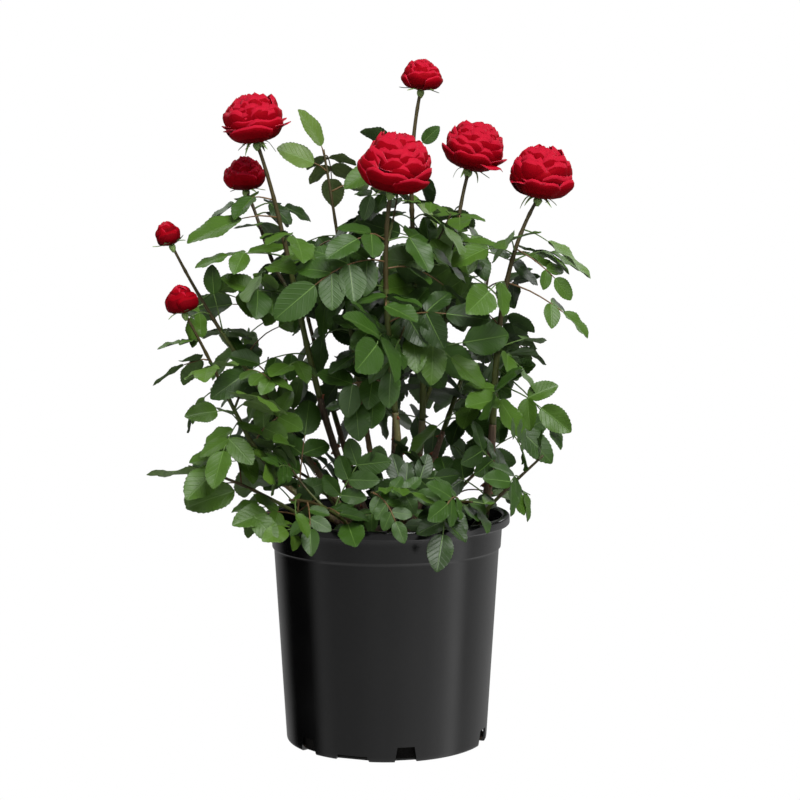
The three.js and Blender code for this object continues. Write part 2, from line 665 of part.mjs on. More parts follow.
const caneName = ({ name }) => `cane_${name}`;

function makeCane(shoot) {
  const grown = (grow) => limb(ringsOn(shoot, 0, shoot.bare, CANE.stepLength, grow), CANE.sides, shoot.side);
  const cane = cutClear(grown(0), caneName(shoot));
  stand(cane, caneName(shoot), grown(GAP));
  return cane;
}

function makeMass(mass) {
  const node = `foliage_${mass.name}`;
  const family = [...shoots.values()].filter((shoot) => shoot.family === mass.name);
  let solid = null;
  for (const shoot of family) {
    const from = shoot.bare ? shoot.bare + GAP / shoot.length : 0;
    const to = shoot.bloom ? 1 - STEM.hipReach / 2 / shoot.length : 1;
    const stem = limb(ringsOn(shoot, from, to, STEM.stepLength), STEM.sides, shoot.side);
    solid = solid ? solid.add(stem) : stem;
  }
  solid = cutClear(solid, caneName(mass));
  stand(solid, node);
  for (const shoot of family) {
    if (shoot.bloom) solid = solid.add(hipSolid(shoot));
    for (const leaf of shoot.grown) {
      leaf.leaflets = leaf.leaflets.filter((leaflet) => !touchesOthers(leafletRoom(leaflet), node));
      const skin = leafSkin(leaf);
      if (touchesOthers(skin, node)) continue;
      stand(skin, node);
      solid = solid.add(skin);
    }
  }
  return wholeOf(solid);
}

// ---- Blooms -------------------------------------------------------------------------------------

// Half sections of the blooms, from the claw at the foot over each tier of petals to the heart:
// radius and height in shares of the bloom's width and height, and how deep the tier is lobed.
const TIERS = {
  open: [
    [0.08, -0.5, 0], [0.33, -0.36, 0.02], [0.45, -0.14, 0.06], [0.38, -0.1, 0.04], [0.42, 0.1, 0.06],
    [0.34, 0.2, 0.07], [0.27, 0.18, 0.04], [0.26, 0.36, 0.08], [0.15, 0.45, 0.08], [0.07, 0.36, 0],
  ],
  cup: [
    [0.12, -0.5, 0], [0.34, -0.36, 0.03], [0.45, -0.05, 0.05], [0.43, 0.2, 0.06], [0.33, 0.28, 0.05],
    [0.29, 0.42, 0.07], [0.16, 0.46, 0.07], [0.08, 0.38, 0],
  ],
  bud: [
    [0.16, -0.5, 0], [0.42, -0.3, 0.02], [0.47, -0.02, 0.03], [0.39, 0.26, 0.05], [0.2, 0.44, 0.08],
    [0.08, 0.48, 0],
  ],
};

// A bloom is a closed rosette: each tier bulges in five lobes, half a lobe on from the tier below.
function makeBloom(shoot) {
  const { across: width, tall, kind } = shoot.bloom;
  const { axis, centre } = bloomPlace(shoot);
  const across = shoot.side.clone().addScaledVector(axis, -shoot.side.dot(axis)).normalize();
  const over = vec(0, 0, 0).crossVectors(axis, across);
  const tiers = TIERS[kind];
  const sides = BLOOM.lobes * BLOOM.sidesPerLobe;
  const points = [];
  const faces = [];
  tiers.forEach(([radius, height, lobe], tier) => {
    const phase = tier * BLOOM.phaseStep;
    for (let i = 0; i < sides; i += 1) {
      const angle = (i / sides) * 2 * Math.PI;
      const swell = lobe * Math.cos(BLOOM.lobes * angle + phase);
      const reach = radius * (1 + 2 * swell) * width;
      points.push(centre.clone().addScaledVector(axis, (height - swell * 0.6) * tall)
        .addScaledVector(across, reach * Math.cos(angle)).addScaledVector(over, reach * Math.sin(angle)));
      if (tier) {
        const [a, b] = [(tier - 1) * sides + i, (tier - 1) * sides + ((i + 1) % sides)];
        faces.push([a, b, b + sides], [a, b + sides, a + sides]);
      }
    }
  });
  const top = (tiers.length - 1) * sides;
  for (let i = 1; i < sides - 1; i += 1) {
    faces.push([0, i + 1, i], [top, top + i, top + i + 1]);
  }
  return solidOf(facesGeometry(points, faces));
}

// ---- The whole plant ----------------------------------------------------------------------------

const rose = new THREE.Group();
rose.name = 'rose_bush';

function addPart(name, solid, colours) {
  const mesh = new THREE.Mesh(geometryOf(solid), new THREE.MeshStandardMaterial(colours));
  mesh.name = name;
  rose.add(mesh);
}

addPart('pot', makePot(), COLOURS.pot);
addPart('soil', makeSoil(), COLOURS.soil);
const crown = makeCrown();
stand(crown, 'crown', makeCrown(GAP));
addPart('crown', crown, COLOURS.wood);

growAll();
const heads = [...shoots.values()].filter((shoot) => !shoot.parent);
for (const shoot of heads.filter(({ bare }) => bare)) {
  addPart(caneName(shoot), makeCane(shoot), COLOURS.cane);
}
for (const shoot of [...shoots.values()].filter(({ bloom }) => bloom)) {
  const bloom = makeBloom(shoot);
  stand(bloom, `bloom_${shoot.name}`);
  addPart(`bloom_${shoot.name}`, bloom, COLOURS.petal);
}
for (const shoot of heads) {
  addPart(`foliage_${shoot.name}`, makeMass(shoot), COLOURS.leaf);
}

export default rose;
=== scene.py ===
"""A repeat-flowering rose bush in a round black nursery pot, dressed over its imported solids.

The growth rule and the sizes of the plant are in millimetres, with +Z up and the front at -Y, as
in the part's own source. Every mesh is written in metres, in the frame's coordinates.
"""
from __future__ import annotations

import logging
import math
from collections.abc import Sequence
from dataclasses import dataclass, field, replace
from enum import Enum
from itertools import product

import bpy
import numpy as np
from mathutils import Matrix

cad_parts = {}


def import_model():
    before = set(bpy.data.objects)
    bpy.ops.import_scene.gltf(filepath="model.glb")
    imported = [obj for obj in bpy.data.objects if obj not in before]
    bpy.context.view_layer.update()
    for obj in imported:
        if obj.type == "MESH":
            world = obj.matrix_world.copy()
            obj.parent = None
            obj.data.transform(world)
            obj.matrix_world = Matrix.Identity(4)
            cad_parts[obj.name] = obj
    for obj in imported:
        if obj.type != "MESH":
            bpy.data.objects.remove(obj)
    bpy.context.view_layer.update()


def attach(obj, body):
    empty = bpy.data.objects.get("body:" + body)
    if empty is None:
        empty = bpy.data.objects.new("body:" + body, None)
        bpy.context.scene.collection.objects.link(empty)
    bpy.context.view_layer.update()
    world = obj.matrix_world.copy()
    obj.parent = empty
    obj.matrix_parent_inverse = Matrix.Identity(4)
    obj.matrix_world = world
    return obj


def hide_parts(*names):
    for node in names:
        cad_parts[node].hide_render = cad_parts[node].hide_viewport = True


LOG = logging.getLogger("rose_bush")
MM = 0.001
ROOT_BODY = "root"
Vec = np.ndarray
Pair = tuple[float, float]
Triple = tuple[float, float, float]
Faces = list[tuple[int, ...]]
Piece, Material, Tree = bpy.types.Object, bpy.types.Material, bpy.types.NodeTree
Node, Socket = bpy.types.Node, bpy.types.NodeSocket
UP = np.array([0.0, 0.0, 1.0])
LIGHT = np.array([0.0, -1.0, 0.0])


# ---- Vectors and chance ----


def vec(*values: float) -> Vec:
    """A vector of double precision."""
    return np.array(values, dtype=float)


def unit(v: Vec) -> Vec:
    """The vector at length one."""
    return v / math.sqrt(float(v @ v))


def cross(a: Vec, b: Vec) -> Vec:
    """The cross product of two single vectors."""
    return vec(a[1] * b[2] - a[2] * b[1], a[2] * b[0] - a[0] * b[2], a[0] * b[1] - a[1] * b[0])


def square_to(v: Vec, axis: Vec) -> Vec:
    """The part of a vector that is square to a unit axis, at length one."""
    return unit(v - axis * float(v @ axis))


def lerp(a: float, b: float, share: float) -> float:
    """The value a share of the way from a to b."""
    return a + (b - a) * share


class Dice:
    """Seeded chance: a 32-bit sequence, the same as in the part's source."""

    MASK = 0xFFFFFFFF
    STEP = 0x6D2B79F5

    def __init__(self, seed: int) -> None:
        """Starts the sequence at a seed."""
        self.state = seed & self.MASK

    def roll(self, low: float = 0.0, high: float = 1.0) -> float:
        """The next number between two limits."""
        self.state = (self.state + self.STEP) & self.MASK
        t = self.state
        t = ((t ^ (t >> 15)) * (t | 1)) & self.MASK
        t ^= (t + (((t ^ (t >> 7)) * (t | 61)) & self.MASK)) & self.MASK
        return low + (high - low) * ((t ^ (t >> 14)) & self.MASK) / 4294967296


@dataclass(frozen=True)
class Bezier:
    """A cubic curve through a foot and a tip, with two handles."""

    foot: Vec
    low: Vec
    high: Vec
    tip: Vec

    def at(self, t: float) -> Vec:
        """The point at a share of the curve."""
        k = 1 - t
        return (k * k * k * self.foot + 3 * k * k * t * self.low
                + 3 * k * t * t * self.high + t * t * t * self.tip)

    def tangent(self, t: float) -> Vec:
        """The unit heading at a share of the curve."""
        k = 1 - t
        return unit(3 * k * k * (self.low - self.foot) + 6 * k * t * (self.high - self.low)
                    + 3 * t * t * (self.tip - self.high))

    def length(self, steps: int = 200) -> float:
        """The length of the curve, by chords."""
        points = [self.at(i / steps) for i in range(steps + 1)]
        return sum(math.dist(a, b) for a, b in zip(points, points[1:]))


# ---- Sizes of the plant, in millimetres ----

GAP = 0.3


@dataclass(frozen=True)
class PotSize:
    """The moulded pot: radii, heights and the drain notches round its foot."""

    height: float = 258
    bottom_radius: float = 114.4
    step_height: float = 220.7
    step_radius: float = 128
    band_radius: float = 130
    band_top_radius: float = 131.6
    lip_radius: float = 140
    lip_drop: float = 11
    lip_round: float = 2.5
    mouth_radius: float = 131
    wall: float = 2.4
    floor: float = 3
    sides: int = 180

    def outer_at(self, z: float) -> float:
        """The outer radius of the wall at a height below the step."""
        return lerp(self.bottom_radius, self.step_radius, z / self.step_height)

    def inner_at(self, z: float) -> float:
        """The inner radius of the wall at a height below the step."""
        return self.outer_at(z) - self.wall


@dataclass(frozen=True)
class Drain:
    """A ring of notches cut through the foot: angles in degrees from the front, towards +X."""

    count: int
    first: float
    width: float
    top_width: float
    height: float
    depth: float = 9


POT = PotSize()
DRAINS = (Drain(6, 10.6, 25, 19, 17), Drain(3, -19.4, 40, 34, 6))
SOIL_HEIGHT = 226.0
SOIL_EDGE_DROP = 3.0
SOIL_FLAT_RADIUS = 112.0
CROWN_HEIGHT = 17.0
CANE_FLARE = 0.75
CANE_FLARE_REACH = 13.0
HIP_REACH = 9.0
HIP_RADIUS = 5.2


class BloomKind(Enum):
    """How far a bloom has opened."""

    OPEN = "open"
    CUP = "cup"
    BUD = "bud"


@dataclass(frozen=True)
class BloomSize:
    """A bloom: its width, its height, how far it is open, and its lean for 1 of height."""

    across: float
    tall: float
    kind: BloomKind
    lean: Pair

    @property
    def axis(self) -> Vec:
        """The unit axis of the bloom."""
        return unit(vec(self.lean[0], self.lean[1], 1.0))

    @property
    def sides(self) -> tuple[Vec, Vec]:
        """Two unit directions across the bloom, square to each other."""
        east = square_to(vec(1, 0, 0), self.axis)
        return east, cross(self.axis, east)


@dataclass
class Leaflet:
    """One blade: where it starts, the way it points, the way its face points, and its size."""

    node: int
    hand: int
    root: Vec
    along: Vec
    face: Vec
    length: float
    width: float


@dataclass
class Leaf:
    """A compound leaf: the points and headings of its stalk, and its leaflets."""

    points: list[Vec]
    headings: list[Vec]
    plane: Vec
    leaflets: list[Leaflet]


@dataclass
class Shoot:
    """A curved stem. Up to the share `bare` it is a bough, and its leaves stand above that."""

    name: str
    curve: Bezier
    bare: float
    leaves: int
    size: float
    seed: int
    thick: float = 2.6
    thin: float = 1.3
    bloom: BloomSize | None = None
    family: str = ""
    fork: bool = False
    grown: list[Leaf] = field(default_factory=list)
    length: float = 0.0

    def __post_init__(self) -> None:
        """Works out the length and the family that the shoot belongs to."""
        self.length = self.curve.length()
        self.family = self.family or self.name

    @property
    def side(self) -> Vec:
        """The unit direction square to the plane that the shoot rises in."""
        return unit(cross(self.curve.tip - self.curve.foot, UP))

    def radius(self, share: float) -> float:
        """The radius at a share of the shoot, with its flare on the soil."""
        flare = 0.0 if self.fork else CANE_FLARE * math.exp(-share * self.length / CANE_FLARE_REACH)
        return lerp(self.thick, self.thin, share) * (1 + flare)

    def bloom_centre(self) -> Vec:
        """The centre of the bloom at the tip."""
        return self.curve.tip + self.bloom.axis * (self.bloom.tall / 2 + GAP)


# Each row: name, foot on the soil or (parent, share), low handle, high handle, tip, bare share, leaves,
# leaflet size, seed, and where they aren't the usual ones radius at the foot, radius at the tip and bloom.
OPEN, CUP, BUD = BloomKind.OPEN, BloomKind.CUP, BloomKind.BUD
SHOOT_ROWS = (
    ("front", (21, -30), (16, -49, 365), (-13, -61, 515), (5, -70, 619), 0.36, 7, 48, 8, 4.6, 2.3,
     BloomSize(82, 64, OPEN, (0.2, -0.15))),
    ("right", (104, -18), (134, -7, 350), (104, 1, 502), (171, 10, 614), 0.34, 9, 46, 11, 5.4, 2.0,
     BloomSize(76, 58, OPEN, (0.15, -0.1))),
    ("centre", (14, 10), (80, 20, 405), (2, 25, 560), (39, 30, 736), 0.26, 7, 47, 121, 4.6, 1.9,
     BloomSize(50, 36, CUP, (0.08, -0.1))),
    ("centre_fork", ("centre", 0.29), (76, 34, 448), (70, 48, 559), (95, 60, 647), 0, 5, 44, 59, 2.7, 2.0,
     BloomSize(76, 56, OPEN, (0.28, -0.1))),
    ("left_middle", (-14, 6), (-92, -3, 370), (-98, -7, 545), (-144, -10, 675), 0.36, 7, 46, 56, 4.6, 1.9,
     BloomSize(76, 54, OPEN, (-0.14, -0.1))),
    ("left_middle_fork", ("left_middle", 0.6), (-134, 14, 532), (-140, 32, 583), (-161, 50, 624), 0, 3, 40,
     101, 2.3, 1.7, BloomSize(52, 40, CUP, (-0.04, -0.1))),
    ("spire", (2, 24), (-34, 28, 375), (-46, 37, 529), (-72, 45, 670), 0.4, 8, 46, 44, 3.8, 1.4),
    ("left_low", (-14, -25), (-165, -44, 318), (-135, -39, 325), (-221, -60, 488), 0.36, 8, 42, 42, 4.0,
     1.5, BloomSize(38, 31, BUD, (-0.25, 0))),
    ("left_high", (-28, -9), (-100, -1, 350), (-175, -4, 429), (-240, -10, 562), 0.38, 7, 42, 46, 4.0, 1.5,
     BloomSize(31, 27, BUD, (-0.33, 0))),
    ("back_left", (-16, 34), (-60, 90, 350), (-90, 130, 450), (-115, 150, 560), 0.36, 7, 47, 135, 4.2, 1.4),
    ("back_right", (27, 28), (60, 90, 340), (110, 120, 430), (125, 150, 540), 0.36, 7, 47, 29, 4.2, 1.4),
    ("back", (7, 41), (10, 90, 350), (10, 140, 440), (20, 190, 520), 0.36, 7, 47, 41, 4.2, 1.4),
    ("low_left", (-42, -26), (-95, -58, 262), (-140, -76, 300), (-216, -84, 322), 0, 7, 39, 99),
    ("low_right", (84, -34), (110, -50, 275), (140, -66, 300), (172, -70, 332), 0, 6, 37, 347),
    ("low_front_left", (-22, -42), (-44, -75, 264), (-72, -98, 288), (-104, -122, 290), 0, 5, 33, 247),
    ("low_front_right", (44, -38), (54, -72, 264), (70, -98, 288), (92, -124, 288), 0, 5, 33, 80),
    ("low_front", (6, -44), (4, -80, 268), (-4, -104, 296), (-16, -136, 300), 0, 4, 33, 286),
    ("low_back_left", (-40, 26), (-62, 60, 275), (-100, 90, 300), (-140, 120, 300), 0, 5, 36, 94),
    ("low_back_right", (48, 22), (76, 58, 275), (110, 90, 300), (140, 120, 310), 0, 5, 36, 80),
)


def make_shoots() -> dict[str, Shoot]:
    """The shoots by name, each with its curve.

    Returns:
        The shoots in the order that they grow in.
    """
    shoots: dict[str, Shoot] = {}
    for name, foot, low, high, tip, *rest in SHOOT_ROWS:
        fork = isinstance(foot[0], str)
        start = shoots[foot[0]].curve.at(foot[1]) if fork else vec(*foot, SOIL_HEIGHT + GAP)
        curve = Bezier(start, vec(*low), vec(*high), vec(*tip))
        shoots[name] = Shoot(name, curve, *rest, family=foot[0] if fork else name, fork=fork)
    return shoots


# ---- The growth rule ----

LOWEST_LEAF = 190.0
BELLY = ((180, 150), (215, 178), (240, 195), (270, 235), (315, 285), (400, 250), (470, 250),
         (540, 245), (600, 215), (650, 130), (700, 95), (780, 60))
EYE_DISTANCE = 2104.0
EYE_HEIGHT = 572.5
# Openings through the crown, as seen from the front: across, height and radius. They keep finer growth
# out, and the clearings also drop leaflets that have grown.
OPENINGS = ((-58, 623, 20), (60, 651, 18), (116, 623, 18), (-29, 710, 26), (-159, 573, 14),
            (-97, 612, 18), (27, 398, 14), (49, 392, 12), (-75, 466, 15), (94, 466, 14),
            (-109, 449, 14), (-159, 472, 18), (106, 298, 14), (-175, 376, 12), (150, 584, 18),
            (-125, 643, 20), (191, 432, 22), (180, 295, 25))
CLEARINGS = ((-126, 253, 9), (-108, 252, 8), (-142, 262, 7), (-165, 488, 11), (-178, 482, 10),
             (-140, 476, 7), (-115, 477, 5), (-126, 444, 16), (-141, 425, 10), (-117, 457, 9),
             (-174, 309, 9), (-171, 291, 9), (-115, 281, 10), (-132, 268, 6), (-94, 303, 10),
             (-187, 244, 10), (-144, 211, 15), (-61, 457, 9), (-46, 454, 8), (-221, 539, 11),
             (-185, 567, 12), (-153, 565, 9), (-144, 539, 9), (-41, 600, 11), (-88, 572, 10),
             (12, 555, 9), (21, 596, 7), (34, 592, 8), (105, 520, 10), (121, 521, 9), (122, 494, 8),
             (73, 465, 10), (66, 364, 10), (91, 351, 9), (101, 286, 14), (133, 341, 9), (146, 386, 10),
             (132, 383, 8), (183, 443, 11), (219, 446, 16), (201, 449, 10), (226, 425, 9),
             (192, 288, 10), (177, 313, 9), (163, 325, 8), (175, 264, 8), (-184, 364, 9), (-206, 353, 7),
             (-200, 393, 8), (-225, 402, 9), (181, 480, 9), (160, 483, 10), (-68, 387, 7), (-12, 350, 9),
             (-69, 353, 9), (-118, 269, 6), (-13, 321, 6), (121, 307, 5), (146, 326, 7), (-137, 259, 8),
             (124, 258, 10), (-100, 262, 7), (20, 250, 7), (-40, 250, 6))
MOST_POINTS_IN_CLEARING = 3
# The number of the one leaf that is left out on a shoot, and the twigs that are left out.
LEFT_OUT_LEAF = {"low_left": 5, "low_front": 2, "low_front_left": 2}
LEFT_OUT_TWIGS = ("centre_twig_2",)
CLEAR_LEAF = 4.2
CLEAR_STALK = 2.0
CLEAR_STEM = 4.5
CLEAR_RIM = 4.0
CLEAR_BLOOM = 5.0
STEM_STEP = 7.0
CELL = 14.0
# Far-apart steps from one seed to the next, so that no two leaves, twigs or sprays share their chance.
LEAF_SEEDS, TWIG_SEEDS, SPRAY_SEEDS = 7919, 6151, 4099
# Where a leaflet is tested for room: shares of its length, and of its half width.
SPREAD = ((0.1, 0.0), (0.24, 0.5), (0.4, 0.62), (0.56, 0.62), (0.72, 0.55), (0.88, 0.35), (1.0, 0.0))


@dataclass(frozen=True)
class LeafRule:
    """How compound leaves grow: lengths in middle-leaflet lengths, angles in radians."""

    turn: float = math.radians(144)
    turn_jitter: float = 0.45
    tries: int = 6
    turn_on_retry: float = 0.8
    lift: Pair = (math.radians(48), math.radians(78))
    arch: Pair = (0.35, 1.15)
    sway: float = 0.3
    many_pairs_share: float = 0.25
    first_share: float = 0.03
    first_share_on_fork: float = 0.16
    first_share_on_low_shoot: float = 0.3
    last_share: float = 0.985
    last_share_under_bloom: float = 0.85
    spacing_jitter: float = 0.6
    size_jitter: Pair = (0.86, 1.14)
    size_at_ends: float = 0.8
    size_gain: float = 0.28
    facing_up: float = 0.62
    facing_light: float = 0.42
    facing_outward: float = 0.3
    chance: float = 0.5
    chance_up: float = 0.25
    stalk_before_pairs: float = 0.55
    pair_step: float = 0.5
    splay: Pair = (74.0, 56.0)
    splay_jitter: float = 6.0
    sag: Pair = (0.05, 0.42)
    sag_jitter: float = 0.08
    last_sag: Pair = (0.0, 0.3)
    twist: float = 0.2
    leaflet_at_base: float = 0.8
    leaflet_gain: float = 0.14
    leaflet_jitter: Pair = (0.9, 1.08)
    leaflet_width: Pair = (0.58, 0.66)
    last_leaflet: Pair = (1.02, 1.2)
    last_width: Pair = (0.54, 0.62)


@dataclass(frozen=True)
class Spray:
    """A leaf that reaches further out than its neighbours: where it starts and where its tip is."""

    shoot: str
    share: float
    tip: Triple
    size: float
    pairs: int
    seed: int
    roll: float = 0.0


SPRAYS = tuple(Spray(shoot, *row) for shoot, rows in {
    "spire": ((0.985, (-91, 25, 711), 44, 0, 1, 20.0),
              (0.94, (-123, 20, 671), 40, 0, 2, -50.0)),
    "centre": ((0.86, (-28, 30, 693), 36, 0, 3, 60.0),
               (0.86, (59, 10, 693), 25, 0, 4, 40.0)),
    "left_middle": ((0.80, (-221, -40, 568), 60, 0, 5, 30.0),
                    (0.70, (-212, -40, 540), 36, 1, 6, 15.0)),
    "left_high": ((0.72, (-194, -30, 540), 30, 0, 7, 20.0),),
    "left_low": ((0.88, (-257, -70, 411), 38, 1, 8, 60.0),
                 (0.93, (-236, -60, 447), 27, 1, 9, 50.0),
                 (0.70, (-216, -90, 379), 34, 0, 18)),
    "right": ((0.90, (232, 0, 526), 56, 0, 10, -14.0),
              (0.84, (209, 0, 500), 27, 1, 11, 28.0),
              (0.74, (228, -20, 461), 34, 1, 12, 28.0),
              (0.45, (203, -60, 357), 42, 1, 13, 20.0),
              (0.50, (196, -50, 337), 30, 0, 14, -40.0),
              (0.55, (169, -30, 395), 36, 1, 15)),
    "low_left": ((0.30, (-163, -120, 267), 37, 1, 16),
                 (0.16, (-130, -130, 251), 32, 1, 17),
                 (0.78, (-262, -84, 314), 58, 0, 21, 40.0),
                 (0.66, (-218, -96, 281), 48, 0, 22, -20.0)),
    "front": ((0.22, (-18, -80, 338), 34, 1, 19, 30.0),
              (0.25, (28, -80, 330), 32, 1, 20, -30.0)),
}.items() for row in rows)


@dataclass(frozen=True)
class SprayRule:
    """How a spray's stalk is aimed: its bend, its first rise for that bend, and its shortest length."""

    arch: float = 0.5
    rise: float = 0.42
    rounds: int = 6
    last_leaflet: float = 1.08
    shortest: float = 0.25


@dataclass(frozen=True)
class TwigRule:
    """How short side twigs stand on a shoot: shares of its length, degrees and millimetres."""

    spacing: float = 120.0
    above_bare: float = 0.04
    last_share: float = 0.88
    place: Pair = (0.2, 0.8)
    lift: Pair = (34.0, 58.0)
    length: Pair = (42.0, 82.0)
    parts: Triple = (0.35, 0.3, 0.35)
    rises: Pair = (0.25, 0.5)
    clear: float = 3.0
    tested: Triple = (0.35, 0.7, 1.0)
    taken: tuple[float, ...] = (0.3, 0.5, 0.7, 0.9)
    leaves: int = 3
    size: float = 0.8
    radii: Pair = (1.6, 0.9)


@dataclass(frozen=True)
class FinerRule:
    """How the second growth differs: its seeds, its leaf size, how close it stands, and its reach."""

    seed: int = 500
    size: float = 0.92
    closeness: float = 0.6
    reach: float = 0.74


class Space:
    """Points that are taken, in cells, each with the radius that it keeps clear."""

    NEIGHBOURS = tuple(product((-1, 0, 1), repeat=3))

    def __init__(self) -> None:
        """Starts with nothing taken."""
        self.cells: dict[tuple[int, ...], list[tuple[Triple, float, str]]] = {}
        self.closeness = 1.0

    @staticmethod
    def key(point: Vec) -> tuple[int, ...]:
        """The cell that a point is in."""
        return tuple(math.floor(value / CELL) for value in point)

    def add(self, point: Vec, radius: float, owner: str) -> None:
        """Takes a point for its owner."""
        self.cells.setdefault(self.key(point), []).append((tuple(point), radius, owner))

    def is_clear(self, point: Vec, radius: float, own_stem: str = "") -> bool:
        """Tells whether a point keeps clear of what is taken, apart from its own stem."""
        i, j, k = self.key(point)
        at = tuple(point)
        return not any(
            owner != own_stem and math.dist(at, other) < (radius + taken) * self.closeness
            for di, dj, dk in self.NEIGHBOURS
            for other, taken, owner in self.cells.get((i + di, j + dj, k + dk), ()))


def stem_owner(family: str) -> str:
    """The owner's name for the stems of one family of shoots."""
    return f"stem {family}"


def lean_out(stem: Vec, turn: float, lift: float) -> tuple[Vec, Vec]:
    """The way out of a stem at a turn round it, and the heading that leans that way from the stem."""
    outward = square_to(vec(math.cos(turn), math.sin(turn), 0.0), stem)
    return outward, unit(stem * math.cos(lift) + outward * math.sin(lift))


class Growth:
    """Grows every shoot's leaves, and then finer twigs in the room that is left."""

    def __init__(self, shoots: dict[str, Shoot]) -> None:
        """Takes the space of the stems before any leaf grows."""
        self.shoots = shoots
        self.rule = LeafRule()
        self.space = Space()
        self.reach = 1.0
        self.twigs: list[Shoot] = []
        self.bloom_spaces = [
            (shoot.bloom_centre(), shoot.bloom.across / 2 + CLEAR_BLOOM, shoot.bloom.tall / 2 + CLEAR_BLOOM)
            for shoot in shoots.values() if shoot.bloom]
        for shoot in shoots.values():
            steps = math.floor(shoot.length / STEM_STEP)
            for i in range(steps + 1):
                self.space.add(shoot.curve.at(i / steps), CLEAR_STEM, stem_owner(shoot.family))

    @staticmethod
    def belly_at(z: float) -> float:
        """The greatest radius of the crown's space at a height."""
        for (z0, r0), (z1, r1) in zip(BELLY, BELLY[1:]):
            if z0 <= z < z1:
                return r0 + (r1 - r0) * (z - z0) / (z1 - z0)
        return 0.0

    def inside(self, point: Vec) -> bool:
        """Tells whether a point is in the crown's space, clear of the pot's rim and the blooms."""
        x, y, z = point
        radius = math.hypot(x, y)
        if z < LOWEST_LEAF or radius > self.belly_at(z) * self.reach:
            return False
        if self.reach < 1.0 and self.shows_through(point, OPENINGS):
            return False
        if z < POT.height + CLEAR_RIM:
            if POT.mouth_radius - CLEAR_RIM < radius < POT.lip_radius + CLEAR_RIM:
                return False
            if radius <= POT.mouth_radius - CLEAR_RIM and z < SOIL_HEIGHT + CLEAR_RIM:
                return False
        return all(((x - c[0]) ** 2 + (y - c[1]) ** 2) / wide ** 2 + (z - c[2]) ** 2 / high ** 2 >= 1
                   for c, wide, high in self.bloom_spaces)

    @staticmethod
    def shows_through(point: Vec, holes: Sequence[Triple]) -> bool:
        """Tells whether a point lies in one of the openings, as the eye in front sees them."""
        near = EYE_DISTANCE / (EYE_DISTANCE + point[1])
        x, z = point[0] * near, EYE_HEIGHT + (point[2] - EYE_HEIGHT) * near
        return any(math.hypot(x - a, z - b) < r for a, b, r in holes)

    def clear_holes(self, leaves: Sequence[Leaf]) -> list[Leaf]:
        """Drops the leaflets that close a clearing, and the leaves that lose them all."""
        for leaf in leaves:
            leaf.leaflets = [
                each for each in leaf.leaflets
                if sum(self.shows_through(p, CLEARINGS) for p in self.points_over(each))
                <= MOST_POINTS_IN_CLEARING]
        return [leaf for leaf in leaves if leaf.leaflets]

    def facing(self, along: Vec, outward: Vec, dice: Dice) -> Vec:
        """The way a leaf's face points: up, to the light and outwards, with some chance."""
        rule = self.rule
        chance = vec(dice.roll(-rule.chance, rule.chance), dice.roll(-rule.chance, rule.chance),
                     dice.roll(-rule.chance_up, rule.chance_up))
        face = chance + UP * rule.facing_up + LIGHT * rule.facing_light + outward * rule.facing_outward
        return square_to(face, along)

    def make_leaf(self, dice: Dice, root: Vec, heading: Vec, outward: Vec, size: float, pairs: int,
                  bare: float, arch: float, roll: float = 0.0) -> Leaf:
        """Makes one compound leaf, with its leaflets in pairs and one at the end.

        Args:
            dice: the leaf's own chance.
            root: where it stands on the stem.
            heading: the way that its stalk starts.
            outward: the way that its face leans.
            size: the length of a middle leaflet.
            pairs: how many pairs there are.
            bare: the stalk before the first pair, in lengths of a middle leaflet.
            arch: how far the stalk bends down.
            roll: how far the leaf is turned on edge, in radians.

        Returns:
            The leaf with all its leaflets.
        """
        rule = self.rule
        steps = [bare / 2] * 2 + [rule.pair_step] * pairs
        total = bare + rule.pair_step * pairs
        sway = dice.roll(-rule.sway, rule.sway)
        points, headings = [root], []
        for step in steps:
            sideways = cross(heading, UP)
            heading = unit(heading - UP * (arch * step / total) + sideways * (sway * step / total))
            points.append(points[-1] + heading * (size * step))
            headings.append(heading)
        plane = self.facing(headings[1], unit(vec(outward[0], outward[1], 0.0)), dice)
        plane = plane * math.cos(roll) + cross(headings[1], plane) * math.sin(roll)
        sag = dice.roll(*rule.sag)
        leaflets: list[Leaflet] = []

        def add(node: int, hand: int, along: Vec, splay: float, droop: float, length: float,
                widths: Pair) -> None:
            """Adds a leaflet at a point of the stalk."""
            wing = unit(cross(along, plane))
            up = cross(wing, along)
            way = unit(along * math.cos(splay) + wing * (hand * math.sin(splay)) - up * droop)
            flat = square_to(up, way)
            twist = dice.roll(-rule.twist, rule.twist)
            face = flat * math.cos(twist) + cross(way, flat) * math.sin(twist)
            width = length * dice.roll(*widths)
            leaflets.append(Leaflet(node, hand, points[node], way, face, length, width))

        for pair in range(pairs):
            along = unit(headings[pair + 1] + headings[pair + 2])
            rank = (pair + 1) / pairs
            for hand in (-1, 1):
                length = size * (rule.leaflet_at_base + rule.leaflet_gain * rank)
                length *= dice.roll(*rule.leaflet_jitter)
                splay = math.radians(
                    lerp(*rule.splay, rank) + dice.roll(-rule.splay_jitter, rule.splay_jitter))
                droop = sag + dice.roll(-rule.sag_jitter, rule.sag_jitter)
                add(pair + 2, hand, along, splay, droop, length, rule.leaflet_width)
        length = size * dice.roll(*rule.last_leaflet)
        add(pairs + 2, 0, headings[-1], 0.0, dice.roll(*rule.last_sag), length, rule.last_width)
        return Leaf(points, headings, plane, leaflets)

    @staticmethod
    def points_over(leaflet: Leaflet) -> list[Vec]:
        """Points spread over a leaflet, from its root to its tip."""
        across = cross(leaflet.along, leaflet.face)
        points = []
        for forward, sideways in SPREAD:
            middle = leaflet.root + leaflet.along * (leaflet.length * forward)
            points.append(middle)
            if sideways:
                half = across * (sideways * leaflet.width / 2)
                points += [middle + half, middle - half]
        return points

